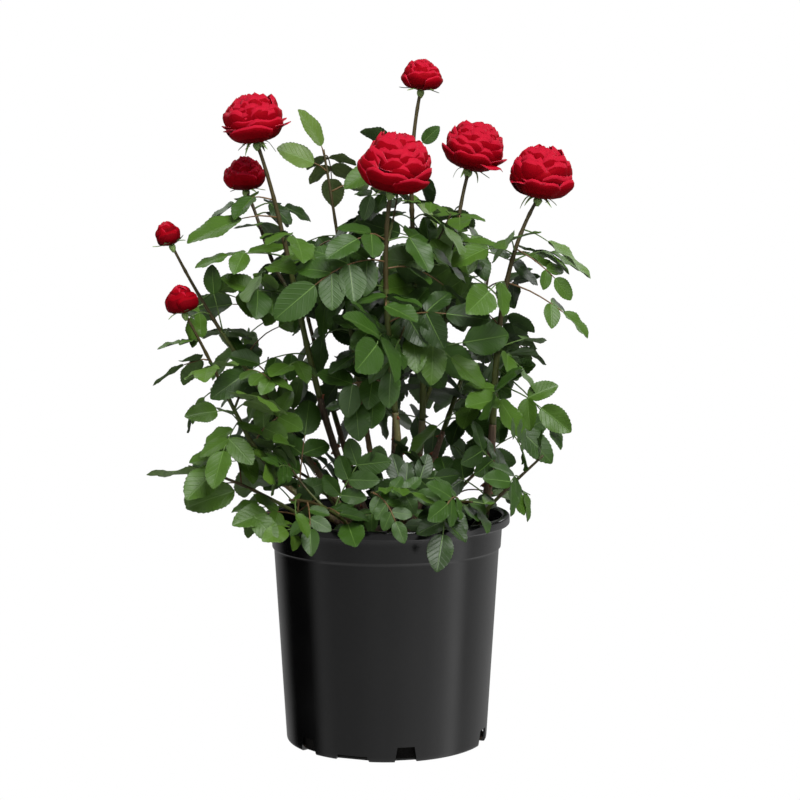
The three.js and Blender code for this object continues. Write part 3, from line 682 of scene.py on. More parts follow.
    def grow_leaf(self, shoot: Shoot, number: int) -> Leaf | None:
        """Grows one leaf of a shoot where it finds room.

        Args:
            shoot: the shoot.
            number: the leaf's number, from the foot up.

        Returns:
            The leaf with the leaflets that fit, or None.
        """
        rule, space = self.rule, self.space
        first = (rule.first_share_on_fork if shoot.fork else shoot.bare or rule.first_share_on_low_shoot)
        last = rule.last_share_under_bloom if shoot.bloom else rule.last_share
        seed = shoot.seed * LEAF_SEEDS
        start = Dice(seed).roll(0, 2 * math.pi)
        best = None
        for attempt in range(rule.tries):
            dice = Dice(seed + number * 101 + attempt * 13 + 1)
            rank = min(1.0, (number + dice.roll(0, rule.spacing_jitter)) / (shoot.leaves - 0.5))
            share = first + rule.first_share + (last - first - rule.first_share) * rank
            turn = (start + number * rule.turn + dice.roll(-rule.turn_jitter, rule.turn_jitter)
                    + attempt * rule.turn_on_retry)
            up = (share - first) / (1 - first)
            middling = math.sin(math.pi * min(1.0, up * 0.9 + 0.15))
            size = shoot.size * (rule.size_at_ends + rule.size_gain * middling)
            size *= dice.roll(*rule.size_jitter)
            if shoot.bloom and number == shoot.leaves - 1:
                pairs = 1
            else:
                pairs = 3 if dice.roll() < rule.many_pairs_share else 2
            lift, arch = dice.roll(*rule.lift), dice.roll(*rule.arch)
            outward, heading = lean_out(shoot.curve.tangent(share), turn, lift)
            leaf = self.make_leaf(
                dice, shoot.curve.at(share), heading, outward, size, pairs, rule.stalk_before_pairs, arch)
            owner = stem_owner(shoot.family)
            if not all(self.inside(p) and space.is_clear(p, CLEAR_STALK, owner) for p in leaf.points[1:]):
                continue
            wanted = len(leaf.leaflets)
            leaf.leaflets = [
                each for each in leaf.leaflets
                if all(self.inside(p) and (i == 0 or space.is_clear(p, CLEAR_LEAF))
                       for i, p in enumerate(self.points_over(each)))]
            kept = len(leaf.leaflets)
            if kept * 2 >= wanted and kept > (len(best.leaflets) if best else 0):
                best = leaf
            if kept == wanted:
                break
        if best:
            self.take(best, shoot)
        return best

    def take(self, leaf: Leaf, shoot: Shoot) -> None:
        """Takes the space that a leaf fills."""
        for point in leaf.points[1:]:
            self.space.add(point, CLEAR_STALK, shoot.name)
        for each in leaf.leaflets:
            for point in self.points_over(each)[1:]:
                self.space.add(point, CLEAR_LEAF, shoot.name)

    def reach_out(self, spray: Spray, rule: SprayRule) -> None:
        """Grows one leaf that reaches to a given place, past the others of its shoot.

        Args:
            spray: the leaf.
            rule: how its stalk is aimed.
        """
        shoot = self.shoots[spray.shoot]
        root, tip = shoot.curve.at(spray.share), vec(*spray.tip)
        aim, leaf = tip, None
        for _ in range(rule.rounds):
            chord = aim - root
            outward = square_to(vec(chord[0], chord[1], 0.0), UP)
            heading = unit(unit(chord) + UP * (rule.arch * rule.rise))
            steps = self.rule.pair_step * spray.pairs + rule.last_leaflet
            bare = max(rule.shortest, math.sqrt(float(chord @ chord)) / spray.size - steps)
            leaf = self.make_leaf(Dice(spray.seed * SPRAY_SEEDS), root, heading, outward, spray.size,
                                  spray.pairs, bare, rule.arch, math.radians(spray.roll))
            last = leaf.leaflets[-1]
            aim = aim + tip - (last.root + last.along * last.length)
        self.take(leaf, shoot)
        shoot.grown.append(leaf)

    def grow(self, shoot: Shoot) -> list[Leaf]:
        """Grows all the leaves of a shoot."""
        leaves = (self.grow_leaf(shoot, number) for number in range(shoot.leaves))
        return [leaf for leaf in leaves if leaf]

    def side_twig(self, shoot: Shoot, number: int, count: int, rule: TwigRule) -> Shoot | None:
        """A short side twig, where it finds room.

        Args:
            shoot: the shoot that it stands on.
            number: the twig's number, from the foot up.
            count: how many twigs the shoot may have.
            rule: how twigs stand.

        Returns:
            The twig with no leaves yet, or None.
        """
        dice = Dice(shoot.seed * TWIG_SEEDS + number * 97 + 5)
        first = (shoot.bare or self.rule.first_share_on_low_shoot) + rule.above_bare
        share = lerp(first, rule.last_share, (number + dice.roll(*rule.place)) / count)
        turn, lift = dice.roll(0, 2 * math.pi), math.radians(dice.roll(*rule.lift))
        heading = lean_out(shoot.curve.tangent(share), turn, lift)[1]
        root = shoot.curve.at(share)
        length = dice.roll(*rule.length)
        line = [root, root + heading * (rule.parts[0] * length)]
        for part, rise in zip(rule.parts[1:], rule.rises):
            line.append(line[-1] + unit(heading + UP * rise) * (part * length))
        curve = Bezier(*line)
        owner = stem_owner(shoot.family)
        if not all(self.inside(curve.at(t)) and self.space.is_clear(curve.at(t), rule.clear, owner)
                   for t in rule.tested):
            return None
        for t in rule.taken:
            self.space.add(curve.at(t), rule.clear, owner)
        return Shoot(f"{shoot.name}_twig_{number}", curve, 0, rule.leaves, shoot.size * rule.size,
                     shoot.seed * 31 + number, *rule.radii, family=shoot.family, fork=True)

    def run(self) -> None:
        """Grows the main leaves, then more leaves and side twigs in what room is left."""
        main, finer, twig_rule = list(self.shoots.values()), FinerRule(), TwigRule()
        for shoot in main:
            leaves = self.grow(shoot)
            if shoot.name in LEFT_OUT_LEAF:
                del leaves[LEFT_OUT_LEAF[shoot.name]]
            shoot.grown = self.clear_holes(leaves)
        for spray in SPRAYS:
            self.reach_out(spray, SprayRule())
        self.space.closeness, self.reach = finer.closeness, finer.reach
        for shoot in main:
            again = replace(shoot, seed=shoot.seed + finer.seed, grown=[], size=shoot.size * finer.size,
                            leaves=max(2, shoot.leaves - 1))
            shoot.grown += self.clear_holes(self.grow(again))
        for shoot in main:
            bare = shoot.bare or self.rule.first_share_on_low_shoot
            count = max(1, round(shoot.length * (1 - bare) / twig_rule.spacing))
            for number in range(count):
                twig = self.side_twig(shoot, number, count, twig_rule)
                if twig:
                    twig.grown = self.clear_holes(self.grow(twig))
                    if twig.grown and twig.name not in LEFT_OUT_TWIGS:
                        self.twigs.append(twig)


# ---- Meshes ----


class Shell:
    """A joined mesh in the making, from closed pieces given in millimetres."""

    def __init__(self, name: str) -> None:
        """Starts an empty mesh with a name."""
        self.name = name
        self.corners: list[np.ndarray] = []
        self.faces: Faces = []
        self.finishes: list[int] = []
        self.uvs: list[np.ndarray] = []
        self.creases: list[np.ndarray] = []
        self.count = 0

    def add(self, corners: np.ndarray, faces: Sequence[tuple[int, ...]],
            finish: int | Sequence[int] = 0, uv: np.ndarray | None = None,
            crease: np.ndarray | None = None) -> Shell:
        """Adds a closed piece.

        Args:
            corners: its corners, one a row.
            faces: its faces as corner numbers, outwards.
            finish: the material's number, or one number a face.
            uv: a flat place for each corner, or None.
            crease: true for each corner on a sharp edge, or None.

        Returns:
            The mesh itself.
        """
        number = len(corners)
        self.corners.append(corners)
        self.faces += [tuple(i + self.count for i in face) for face in faces]
        self.finishes += [finish] * len(faces) if isinstance(finish, int) else list(finish)
        self.uvs.append(np.zeros((number, 2)) if uv is None else uv)
        self.creases.append(np.zeros(number, bool) if crease is None else crease)
        self.count += number
        return self

    def build(self, finishes: Sequence[Material]) -> Piece:
        """Makes the object, with the edges between two corners on a crease sharp.

        Args:
            finishes: the materials, in the order of their numbers.

        Returns:
            The object, at the origin.
        """
        mesh = bpy.data.meshes.new(self.name)
        mesh.from_pydata((np.concatenate(self.corners) * MM).tolist(), [], self.faces)
        for finish in finishes:
            mesh.materials.append(finish)
        mesh.polygons.foreach_set("material_index", np.array(self.finishes, np.int32))
        mesh.shade_smooth()
        loops = np.zeros(len(mesh.loops), np.int32)
        mesh.loops.foreach_get("vertex_index", loops)
        layer = mesh.uv_layers.new(name="UVMap")
        layer.data.foreach_set("uv", np.concatenate(self.uvs)[loops].astype(np.float32).ravel())
        crease = np.concatenate(self.creases)
        if crease.any():
            ends = np.zeros(len(mesh.edges) * 2, np.int32)
            mesh.edges.foreach_get("vertices", ends)
            sharp = crease[ends.reshape(-1, 2)].all(axis=1)
            attribute = mesh.attributes.new("sharp_edge", "BOOLEAN", "EDGE")
            attribute.data.foreach_set("value", sharp)
        mesh.validate()
        mesh.update()
        return add_object(self.name, mesh)


def ring_faces(rings: int, sides: int) -> Faces:
    """The side walls and the two ends of a closed limb.

    Args:
        rings: how many rings of corners there are.
        sides: how many corners each ring has.

    Returns:
        The faces, outwards.
    """
    faces: Faces = []
    for ring in range(rings - 1):
        for i in range(sides):
            a, b = ring * sides + i, ring * sides + (i + 1) % sides
            faces.append((a, b, b + sides, a + sides))
    last = (rings - 1) * sides
    faces.append(tuple(range(sides - 1, -1, -1)))
    faces.append(tuple(range(last, last + sides)))
    return faces


def limb(centres: Sequence[Vec], headings: Sequence[Vec], radii: np.ndarray, side: Vec) -> np.ndarray:
    """The corners of a limb through rings.

    Args:
        centres: the centre of each ring.
        headings: the unit heading at each ring.
        radii: a row for each ring, with a radius for each side.
        side: a direction that no heading runs along.

    Returns:
        The corners, ring by ring.
    """
    sides = radii.shape[1]
    angles = np.arange(sides) * (2 * math.pi / sides)
    corners = np.zeros((len(centres), sides, 3))
    for ring, (centre, along) in enumerate(zip(centres, headings)):
        across = square_to(side, along)
        over = cross(along, across)
        corners[ring] = (centre + np.outer(radii[ring] * np.cos(angles), across)
                         + np.outer(radii[ring] * np.sin(angles), over))
    return corners.reshape(-1, 3)


def smooth_path(points: Sequence[Vec], steps: int) -> list[Vec]:
    """A smooth line through points, with a number of steps between each two."""
    ends = [2 * points[0] - points[1], *points, 2 * points[-1] - points[-2]]
    line = []
    for a, b, c, d in zip(ends, ends[1:], ends[2:], ends[3:]):
        for i in range(steps):
            t = i / steps
            line.append(0.5 * (2 * b + (c - a) * t + (2 * a - 5 * b + 4 * c - d) * t * t
                               + (3 * b - a - 3 * c + d) * t * t * t))
    return [*line, points[-1]]


def headings_of(line: Sequence[Vec]) -> list[Vec]:
    """The unit heading at each point of a line."""
    last = len(line) - 1
    return [unit(line[min(last, i + 1)] - line[max(0, i - 1)]) for i in range(last + 1)]


def thin_sheet(grid: np.ndarray, thickness: float) -> tuple[np.ndarray, Faces]:
    """A closed thin shell over a grid of points.

    Args:
        grid: points by row and column.
        thickness: how thick the shell is in its middle, tapering by half to its rim.

    Returns:
        The corners and the faces, outwards.
    """
    rows, columns = grid.shape[:2]
    normal = np.cross(np.gradient(grid, axis=1), np.gradient(grid, axis=0))
    normal /= np.maximum(np.linalg.norm(normal, axis=2, keepdims=True), 1e-9)
    taper = np.full((rows, columns, 1), thickness / 2)
    taper[-1], taper[:, 0], taper[:, -1] = thickness / 4, thickness / 4, thickness / 4
    corners = np.concatenate([(grid + normal * taper).reshape(-1, 3), (grid - normal * taper).reshape(-1, 3)])
    under = rows * columns
    index = np.arange(under).reshape(rows, columns)
    faces: Faces = []
    for row, after in zip(index[:-1].tolist(), index[1:].tolist()):
        for a, b, d, e in zip(row, row[1:], after, after[1:]):
            faces += [(a, b, e, d), (under + a, under + d, under + e, under + b)]
    rim = [*index[0].tolist(), *index[1:, -1].tolist(), *index[-1, -2::-1].tolist(),
           *index[-2:0:-1, 0].tolist()]
    faces += [(b, a, under + a, under + b) for a, b in zip(rim, rim[1:] + rim[:1])]
    return corners, faces


def add_object(name: str, data: bpy.types.ID) -> Piece:
    """A new object at the origin."""
    made = bpy.data.objects.new(name, data)
    bpy.context.scene.collection.objects.link(made)
    return made


def plain_mesh(source: Piece, name: str) -> Piece:
    """A new object with the evaluated mesh of another, which is then removed.

    Args:
        source: the object with its modifiers.
        name: the new object's name.

    Returns:
        The new object, with no modifiers.
    """
    graph = bpy.context.evaluated_depsgraph_get()
    mesh = bpy.data.meshes.new_from_object(source.evaluated_get(graph), depsgraph=graph)
    mesh.name = name
    made = add_object(name, mesh)
    bpy.data.objects.remove(source)
    return made


# ---- Shader groups and finishes ----


class NodeGraph:
    """Adds nodes to a tree of any kind, and links them."""

    def __init__(self, tree: Tree) -> None:
        """Starts on a tree."""
        self.tree = tree

    def add(self, kind: str, inputs: dict | None = None, **settings: object) -> Node:
        """Adds a node.

        Args:
            kind: the node's type.
            inputs: values or sockets by input name or number.
            settings: the node's own settings.

        Returns:
            The node.
        """
        node = self.tree.nodes.new(kind)
        for key, value in settings.items():
            setattr(node, key, value)
        for key, value in (inputs or {}).items():
            socket = node.inputs[key]
            if isinstance(value, Socket):
                self.tree.links.new(value, socket)
            else:
                socket.default_value = value
        return node

    def math(self, operation: str, *values: object) -> Socket:
        """The result of a Math node on values or sockets."""
        return self.add("ShaderNodeMath", dict(enumerate(values)), operation=operation).outputs[0]

    def ramp(self, value: Socket, start: float = 0.0, end: float = 1.0, low: float = 0.0, high: float = 1.0,
             **settings: object) -> Socket:
        """A value led from one range to another."""
        limits = {"Value": value, "From Min": start, "From Max": end, "To Min": low, "To Max": high}
        return self.add("ShaderNodeMapRange", limits, **settings).outputs["Result"]

    def choose(self, test: Socket, no: Node, yes: Node) -> Node:
        """One of two shaders, by a test."""
        return self.add("ShaderNodeMixShader", {0: test, 1: no.outputs[0], 2: yes.outputs[0]})

    def join(self, *ends: tuple[Socket, Socket]) -> None:
        """Links sockets, two by two."""
        for source, target in ends:
            self.tree.links.new(source, target)


def new_group(name: str, inputs: dict[str, tuple[str, object]], outputs: dict[str, str],
              kind: str = "ShaderNodeTree") -> tuple[NodeGraph, Node, Node]:
    """Starts a node group with named inputs and outputs.

    Args:
        name: the group's name.
        inputs: each input's kind of socket and first value, by name.
        outputs: each output's kind of socket, by name.
        kind: the kind of tree.

    Returns:
        The group's graph, its input node and its output node.
    """
    tree = bpy.data.node_groups.new(name, kind)
    for key, (sort, value) in inputs.items():
        socket = tree.interface.new_socket(name=key, in_out="INPUT", socket_type=sort)
        if value is not None:
            socket.default_value = value
    for key, sort in outputs.items():
        tree.interface.new_socket(name=key, in_out="OUTPUT", socket_type=sort)
    graph = NodeGraph(tree)
    return graph, graph.add("NodeGroupInput"), graph.add("NodeGroupOutput")


FLOAT, VECTOR = "NodeSocketFloat", "NodeSocketVector"


def make_grain_group() -> Tree:
    """Fine grain: a mask of soft patches and a height of fine grit, for every hard or soft finish."""
    graph, given, out = new_group(
        "fine_grain",
        {"Vector": (VECTOR, None), "Patch scale": (FLOAT, 20.0), "Grit scale": (FLOAT, 400.0)},
        {"Mask": FLOAT, "Height": FLOAT})
    patch, grit = (graph.add("ShaderNodeTexNoise", {"Vector": given.outputs["Vector"],
                                                    "Scale": given.outputs[scale], "Detail": detail})
                   for scale, detail in (("Patch scale", 4.0), ("Grit scale", 3.0)))
    graph.join((graph.ramp(patch.outputs["Fac"], 0.35, 0.65), out.inputs["Mask"]),
               (grit.outputs["Fac"], out.inputs["Height"]))
    return graph.tree


def make_vein_group() -> Tree:
    """Leaf veins from the blade's own UV map: a groove along the middle and slanting side veins."""
    graph, given, out = new_group(
        "leaf_veins",
        {"UV": (VECTOR, None), "Pairs": (FLOAT, 7.0), "Slant": (FLOAT, 0.32), "Width": (FLOAT, 0.16)},
        {"Height": FLOAT, "Blade": FLOAT})
    split = graph.add("ShaderNodeSeparateXYZ", {"Vector": given.outputs["UV"]})
    off = graph.math("ABSOLUTE", graph.math("SUBTRACT", split.outputs["X"], 0.5))
    off = graph.math("MULTIPLY", off, 2.0)
    back = graph.math("MULTIPLY", off, given.outputs["Slant"])
    phase = graph.math("MULTIPLY", graph.math("SUBTRACT", split.outputs["Y"], back), given.outputs["Pairs"])
    wave = graph.math("PINGPONG", phase, 0.5)
    side = graph.ramp(wave, end=given.outputs["Width"], interpolation_type="SMOOTHSTEP")
    middle = graph.ramp(off, end=0.1, interpolation_type="SMOOTHSTEP")
    raised = graph.math("ADD", 0.35, graph.math("MULTIPLY", side, 0.65))
    graph.join((graph.math("MULTIPLY", raised, middle), out.inputs["Height"]), (side, out.inputs["Blade"]))
    return graph.tree


@dataclass(frozen=True)
class Groups:
    """The shared shader groups."""

    grain: Tree
    veins: Tree


@dataclass(frozen=True)
class Finish:
    """What every finish has: a name, a plain colour and a roughness."""

    name: str
    colour: Triple
    roughness: float

    def start(self, gloss: float) -> tuple[Material, NodeGraph, Node]:
        """A new material with its plain values set.

        Args:
            gloss: the specular level.

        Returns:
            The material, its graph and its Principled node.
        """
        material = bpy.data.materials.new(self.name)
        material.use_nodes = True
        shader = material.node_tree.nodes["Principled BSDF"]
        shader.inputs["Base Color"].default_value = (*self.colour, 1.0)
        shader.inputs["Roughness"].default_value = self.roughness
        shader.inputs["Specular IOR Level"].default_value = gloss
        material.diffuse_color = (*self.colour, 1.0)
        return material, NodeGraph(material.node_tree), shader

    @staticmethod
    def place(graph: NodeGraph, stretch: Triple) -> Socket:
        """Object coordinates, stretched by a Mapping node."""
        coordinates = graph.add("ShaderNodeTexCoord")
        mapping = graph.add("ShaderNodeMapping", {"Vector": coordinates.outputs["Object"], "Scale": stretch})
        return mapping.outputs["Vector"]

    @staticmethod
    def group(graph: NodeGraph, tree: Tree, inputs: dict) -> Node:
        """Places a shared group with its own values."""
        return graph.add("ShaderNodeGroup", inputs, node_tree=tree)

    def relief(self, graph: NodeGraph, shader: Node, mask: Socket, spread: Pair, height: Socket,
               bump: Pair) -> None:
        """Lets a mask vary the roughness, and a height the normal.

        Args:
            graph: the material's graph.
            shader: its Principled node.
            mask: where the surface is rougher.
            spread: how far the roughness goes down and up.
            height: the height of the relief.
            bump: the relief's strength, and its depth in metres.
        """
        rough = graph.ramp(mask, low=self.roughness - spread[0], high=self.roughness + spread[1])
        node = graph.add("ShaderNodeBump", {"Height": height, "Strength": bump[0], "Distance": bump[1]})
        graph.join((rough, shader.inputs["Roughness"]), (node.outputs["Normal"], shader.inputs["Normal"]))


@dataclass(frozen=True)
class LeafFinish(Finish):
    """A leaf's upper or under side: a plain green with veins pressed into it."""

    vein_depth: float = 0.34
    gloss: float = 0.31

    def make(self, groups: Groups) -> Material:
        """Makes the material."""
        material, graph, shader = self.start(self.gloss)
        uv = graph.add("ShaderNodeUVMap", uv_map="UVMap")
        veins = self.group(graph, groups.veins, {"UV": uv.outputs["UV"]}).outputs
        self.relief(graph, shader, veins["Blade"], (-0.04, -0.02), veins["Height"], (self.vein_depth, 0.0007))
        return material


@dataclass(frozen=True)
class PetalFinish(Finish):
    """Velvety petal: a plain red with a pale sheen and fine pleats from foot to rim."""

    sheen: float = 0.002
    gloss: float = 0.02
    pleats: float = 26.0

    def make(self, groups: Groups) -> Material:
        """Makes the material."""
        material, graph, shader = self.start(self.gloss)
        shader.inputs["Sheen Weight"].default_value = self.sheen
        shader.inputs["Sheen Roughness"].default_value = 0.4
        shader.inputs["Sheen Tint"].default_value = (1.0, 0.45, 0.5, 1.0)
        uv = graph.add("ShaderNodeUVMap", uv_map="UVMap").outputs["UV"]
        stretch = graph.add("ShaderNodeMapping", {"Vector": uv, "Scale": (self.pleats, 2.2, 1.0)})
        grain = self.group(graph, groups.grain, {
            "Vector": stretch.outputs["Vector"], "Patch scale": 0.6, "Grit scale": 1.0}).outputs
        self.relief(graph, shader, grain["Mask"], (0.08, 0.1), grain["Height"], (0.35, 0.0009))
        return material


@dataclass(frozen=True)
class GrainFinish(Finish):
    """A plain surface with fine grain: the scales of patches and grit, and how far each of them shows."""

    gloss: float
    stretch: Triple
    patch_scale: float
    grit_scale: float
    spread: Pair
    bump: Pair

    def make(self, groups: Groups) -> Material:
        """Makes the material."""
        material, graph, shader = self.start(self.gloss)
        grain = self.group(graph, groups.grain, {
            "Vector": self.place(graph, self.stretch), "Patch scale": self.patch_scale,
            "Grit scale": self.grit_scale}).outputs
        self.tint(graph, shader, grain["Mask"])
        self.relief(graph, shader, grain["Mask"], self.spread, grain["Height"], self.bump)
        return material

    def tint(self, graph: NodeGraph, shader: Node, mask: Socket) -> None:
        """Leaves the colour plain."""


@dataclass(frozen=True)
class StemFinish(GrainFinish):
    """Stems and stalks: a plain colour with fine lengthwise streaks."""

    gloss: float = 0.25
    stretch: Triple = (1.0, 1.0, 0.12)
    patch_scale: float = 160.0
    grit_scale: float = 900.0
    spread: Pair = (0.1, 0.12)
    bump: Pair = (0.3, 0.0005)


@dataclass(frozen=True)
class BarkFinish(GrainFinish):
    """Cane bark: two colours in streaks, with pale specks and fine furrows."""

    gloss: float = 0.5
    stretch: Triple = (1.0, 1.0, 0.1)
    patch_scale: float = 70.0
    grit_scale: float = 700.0
    spread: Pair = (0.08, 0.12)
    bump: Pair = (0.5, 0.0012)
    streak: Triple = (0.1, 0.05, 0.02)
    speck: Triple = (0.32, 0.26, 0.15)

    def tint(self, graph: NodeGraph, shader: Node, mask: Socket) -> None:
        """Mixes the streaks and the specks into the colour."""
        specks = graph.add(
            "ShaderNodeTexVoronoi", {"Vector": self.place(graph, (1.0, 1.0, 0.5)), "Scale": 260.0})
        speck = graph.ramp(specks.outputs["Distance"], 0.12, 0.2, 0.35, 0.0)
        colour = (*self.colour, 1.0)
        for share, other in ((mask, self.streak), (speck, self.speck)):
            mix = graph.add("ShaderNodeMix", {0: share, 6: colour, 7: (*other, 1.0)}, data_type="RGBA")
            colour = mix.outputs[2]
        graph.join((colour, shader.inputs["Base Color"]))


@dataclass(frozen=True)
class PotFinish(GrainFinish):
    """Moulded black plastic: fine orange peel, and duller where dust lies."""

    gloss: float = 0.45
    stretch: Triple = (1.0, 1.0, 1.0)
    patch_scale: float = 14.0
    grit_scale: float = 520.0
    spread: Pair = (0.03, 0.05)
    bump: Pair = (0.12, 0.0004)


@dataclass(frozen=True)
class SoilFinish(GrainFinish):
    """Peaty potting soil: near black, and rough all over."""

    gloss: float = 0.12
    stretch: Triple = (1.0, 1.0, 1.0)
    patch_scale: float = 90.0
    grit_scale: float = 600.0
    spread: Pair = (0.05, 0.1)
    bump: Pair = (0.8, 0.0015)


# Upper sides, each with its own underside, from deep shade to new growth. Deep, mid, bright and shade are
# darker and lighter copies of one green: painted shade and light, dealt out by a leaf's place in the crown.
LEAF_TOPS = tuple(LeafFinish(f"leaf_{name}", colour, roughness) for name, colour, roughness in (
    ("deep", (0.021, 0.056, 0.004), 0.48), ("mid", (0.040, 0.090, 0.007), 0.48),
    ("bright", (0.060, 0.122, 0.012), 0.48), ("shade", (0.012, 0.032, 0.003), 0.44),
    ("young", (0.072, 0.125, 0.018), 0.44)))
LEAF_UNDERS = tuple(LeafFinish(f"leaf_under_{name}", colour, 0.6, gloss=0.2) for name, colour in (
    ("deep", (0.050, 0.092, 0.028)), ("mid", (0.070, 0.120, 0.035)),
    ("bright", (0.100, 0.165, 0.045)), ("shade", (0.036, 0.066, 0.020))))
LEAF_UNDERS += (LeafFinish("leaf_under_young", (0.125, 0.175, 0.060), 0.55, gloss=0.25),)
MIDRIB = LeafFinish("leaf_midrib", (0.080, 0.150, 0.030), 0.45, vein_depth=0.1)
STEM_GREEN = StemFinish("stem_green", (0.056, 0.068, 0.016), 0.45)
STEM_RED = StemFinish("stem_red", (0.038, 0.029, 0.008), 0.5)
STALK_GREEN = StemFinish("stalk_green", (0.075, 0.130, 0.030), 0.5)
STALK_RED = StemFinish("stalk_red", (0.120, 0.070, 0.030), 0.5)
PRICKLE = StemFinish("prickle_tan", (0.210, 0.070, 0.035), 0.4)
CANE_GREEN = BarkFinish("cane_green", (0.105, 0.115, 0.036), 0.5, streak=(0.125, 0.075, 0.032))
CANE_BROWN = BarkFinish(
    "cane_brown", (0.110, 0.066, 0.033), 0.7, patch_scale=110.0, bump=(0.8, 0.0012),
    streak=(0.050, 0.030, 0.018))
CROWN_BARK = BarkFinish(
    "crown_bark", (0.085, 0.052, 0.028), 0.8, patch_scale=90.0, bump=(0.9, 0.0012),
    streak=(0.035, 0.022, 0.014))
# Petal reds: the deep red is painted shade at each petal's foot, the bright red a painted highlight in the
# row below the rim, and the pale pink a painted highlight on the rim.
PETALS = (
    PetalFinish("petal_painted_shade", (0.120, 0.0005, 0.0030), 0.6),
    PetalFinish("petal_red", (0.195, 0.0004, 0.0040), 0.6),
    PetalFinish("petal_painted_highlight", (0.320, 0.0060, 0.0190), 0.56),
    PetalFinish("petal_rim_painted_highlight", (0.520, 0.0700, 0.1000), 0.5, 0.05),
)
SEPAL_PALE = StemFinish("sepal_pale", (0.170, 0.260, 0.080), 0.55)
SEPAL_DARK = StemFinish("sepal_dark", (0.050, 0.075, 0.025), 0.55)
POT_BLACK = PotFinish("pot_black", (0.0022, 0.0022, 0.0023), 0.18)
# Near-black soil for the bed's sides and floor, seen only through the drain notches: painted shade.
SOIL_PAINTED_SHADE = SoilFinish("soil_painted_shade", (0.0022, 0.0018, 0.0014), 0.9)
SOIL_PEAT = SoilFinish("soil_peat", (0.014, 0.009, 0.006), 0.95, spread=(0.1, 0.05))
SOIL_CRUMB = SoilFinish("soil_crumb", (0.024, 0.015, 0.009), 0.95, spread=(0.1, 0.05))
SOIL_CHIP = SoilFinish("soil_chip", (0.075, 0.045, 0.024), 0.9)


# ---- Scattering with Geometry Nodes ----


class Scatter:
    """Spreads copies of a small piece over the faces of another, by Geometry Nodes."""

    def __init__(self) -> None:
        """Builds the node group once."""
        geometry, kinds = "NodeSocketGeometry", {
            "Source": "NodeSocketObject", "Density": FLOAT, "Seed": "NodeSocketInt", "Smallest": FLOAT,
            "Largest": FLOAT, "Least rise": FLOAT, "Lean": VECTOR, "Finish": "NodeSocketMaterial"}
        inputs = {name: (kind, None) for name, kind in {"Geometry": geometry, **kinds}.items()}
        graph, start, end = new_group("scatter", inputs, {"Geometry": geometry}, "GeometryNodeTree")
        self.tree, given = graph.tree, start.outputs
        facing = graph.add("GeometryNodeInputNormal")
        normal = graph.add("ShaderNodeSeparateXYZ", {"Vector": facing.outputs[0]})
        rises = graph.add("FunctionNodeCompare", {"A": normal.outputs["Z"], "B": given["Least rise"]},
                          operation="GREATER_THAN")
        points = graph.add("GeometryNodeDistributePointsOnFaces", {
            "Mesh": given["Geometry"], "Selection": rises.outputs[0], "Density": given["Density"],
            "Seed": given["Seed"]})
        leaned = graph.add("FunctionNodeAlignRotationToVector", {
            "Rotation": points.outputs["Rotation"], "Vector": given["Lean"]}, axis="X", pivot_axis="Z")
        scale = graph.add("FunctionNodeRandomValue", {
            "Min": given["Smallest"], "Max": given["Largest"], "Seed": given["Seed"]}, data_type="FLOAT")
        source = graph.add("GeometryNodeObjectInfo", {"Object": given["Source"]})
        copies = graph.add("GeometryNodeInstanceOnPoints", {
            "Points": points.outputs["Points"], "Instance": source.outputs["Geometry"],
            "Rotation": leaned.outputs[0], "Scale": scale.outputs["Value"]})
        real = graph.add("GeometryNodeRealizeInstances", {"Geometry": copies.outputs[0]})
        dressed = graph.add(
            "GeometryNodeSetMaterial", {"Geometry": real.outputs[0], "Material": given["Finish"]})
        graph.join((dressed.outputs[0], end.inputs["Geometry"]))

    def over(self, host: Piece, source: Shell, name: str, finish: Material, **values: object) -> Piece:
        """Makes one joined piece of copies.

        Args:
            host: the object whose faces carry the copies.
            source: the small piece, given with +Z away from the face.
            name: the new piece's name.
            finish: the copies' material.
            values: the node group's other inputs, with _ for a space.

        Returns:
            The new piece.
        """
        small = source.build([finish])
        carrier = add_object(name, host.data)
        modifier = carrier.modifiers.new("scatter", "NODES")
        modifier.node_group = self.tree
        given = {key.replace("_", " "): value for key, value in values.items()}
        given.update({"Source": small, "Finish": finish})
        for item in self.tree.interface.items_tree:
            if item.item_type == "SOCKET" and item.in_out == "INPUT" and item.name in given:
                modifier[item.identifier] = given[item.name]
        made = plain_mesh(carrier, name)
        bpy.data.objects.remove(small)
        made.data.materials.clear()
        made.data.materials.append(finish)
        return made


def place_piece(piece: Piece, slot: str, *nodes: str) -> None:
    """Lets a piece ride on the body, in place of its nodes."""
    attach(piece, ROOT_BODY)
    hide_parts(*nodes)
    LOG.info("%s: %d faces for %d nodes", piece.name, len(piece.data.polygons), len(nodes))


def ripple(points: np.ndarray, wave: float, seed: int) -> np.ndarray:
    """Smooth seeded relief between -1 and 1 at points, with waves of about a length."""
    chance = np.random.default_rng(seed)
    total = np.zeros(len(points))
    for _ in range(7):
        way = chance.normal(size=3)
        way *= 2 * math.pi / (wave * chance.uniform(0.7, 1.5)) / np.linalg.norm(way)
        total += np.sin(points @ way + chance.uniform(0, 2 * math.pi))
    return total / 4.5


def lathe(profile: Sequence[Pair], sides: int) -> tuple[np.ndarray, Faces]:
    """A closed turned body.

    Args:
        profile: radius and height from the axis below, round the outside, to the axis again.
        sides: how many corners a ring has.

    Returns:
        The corners and the faces, outwards.
    """
    angles = np.arange(sides) * (2 * math.pi / sides)
    rings = [np.column_stack((r * np.cos(angles), r * np.sin(angles), np.full(sides, z)))
             for r, z in profile[1:-1]]
    corners = np.concatenate([[[0, 0, profile[0][1]]], *rings, [[0, 0, profile[-1][1]]]])
    faces: Faces = []
    top = len(corners) - 1
    for i in range(sides):
        j = (i + 1) % sides
        faces.append((0, 1 + j, 1 + i))
        for ring in range(len(rings) - 1):
            a, b = 1 + ring * sides + i, 1 + ring * sides + j
            faces.append((a, b, b + sides, a + sides))
        faces.append((top - sides + i, top - sides + j, top))
    return corners, faces


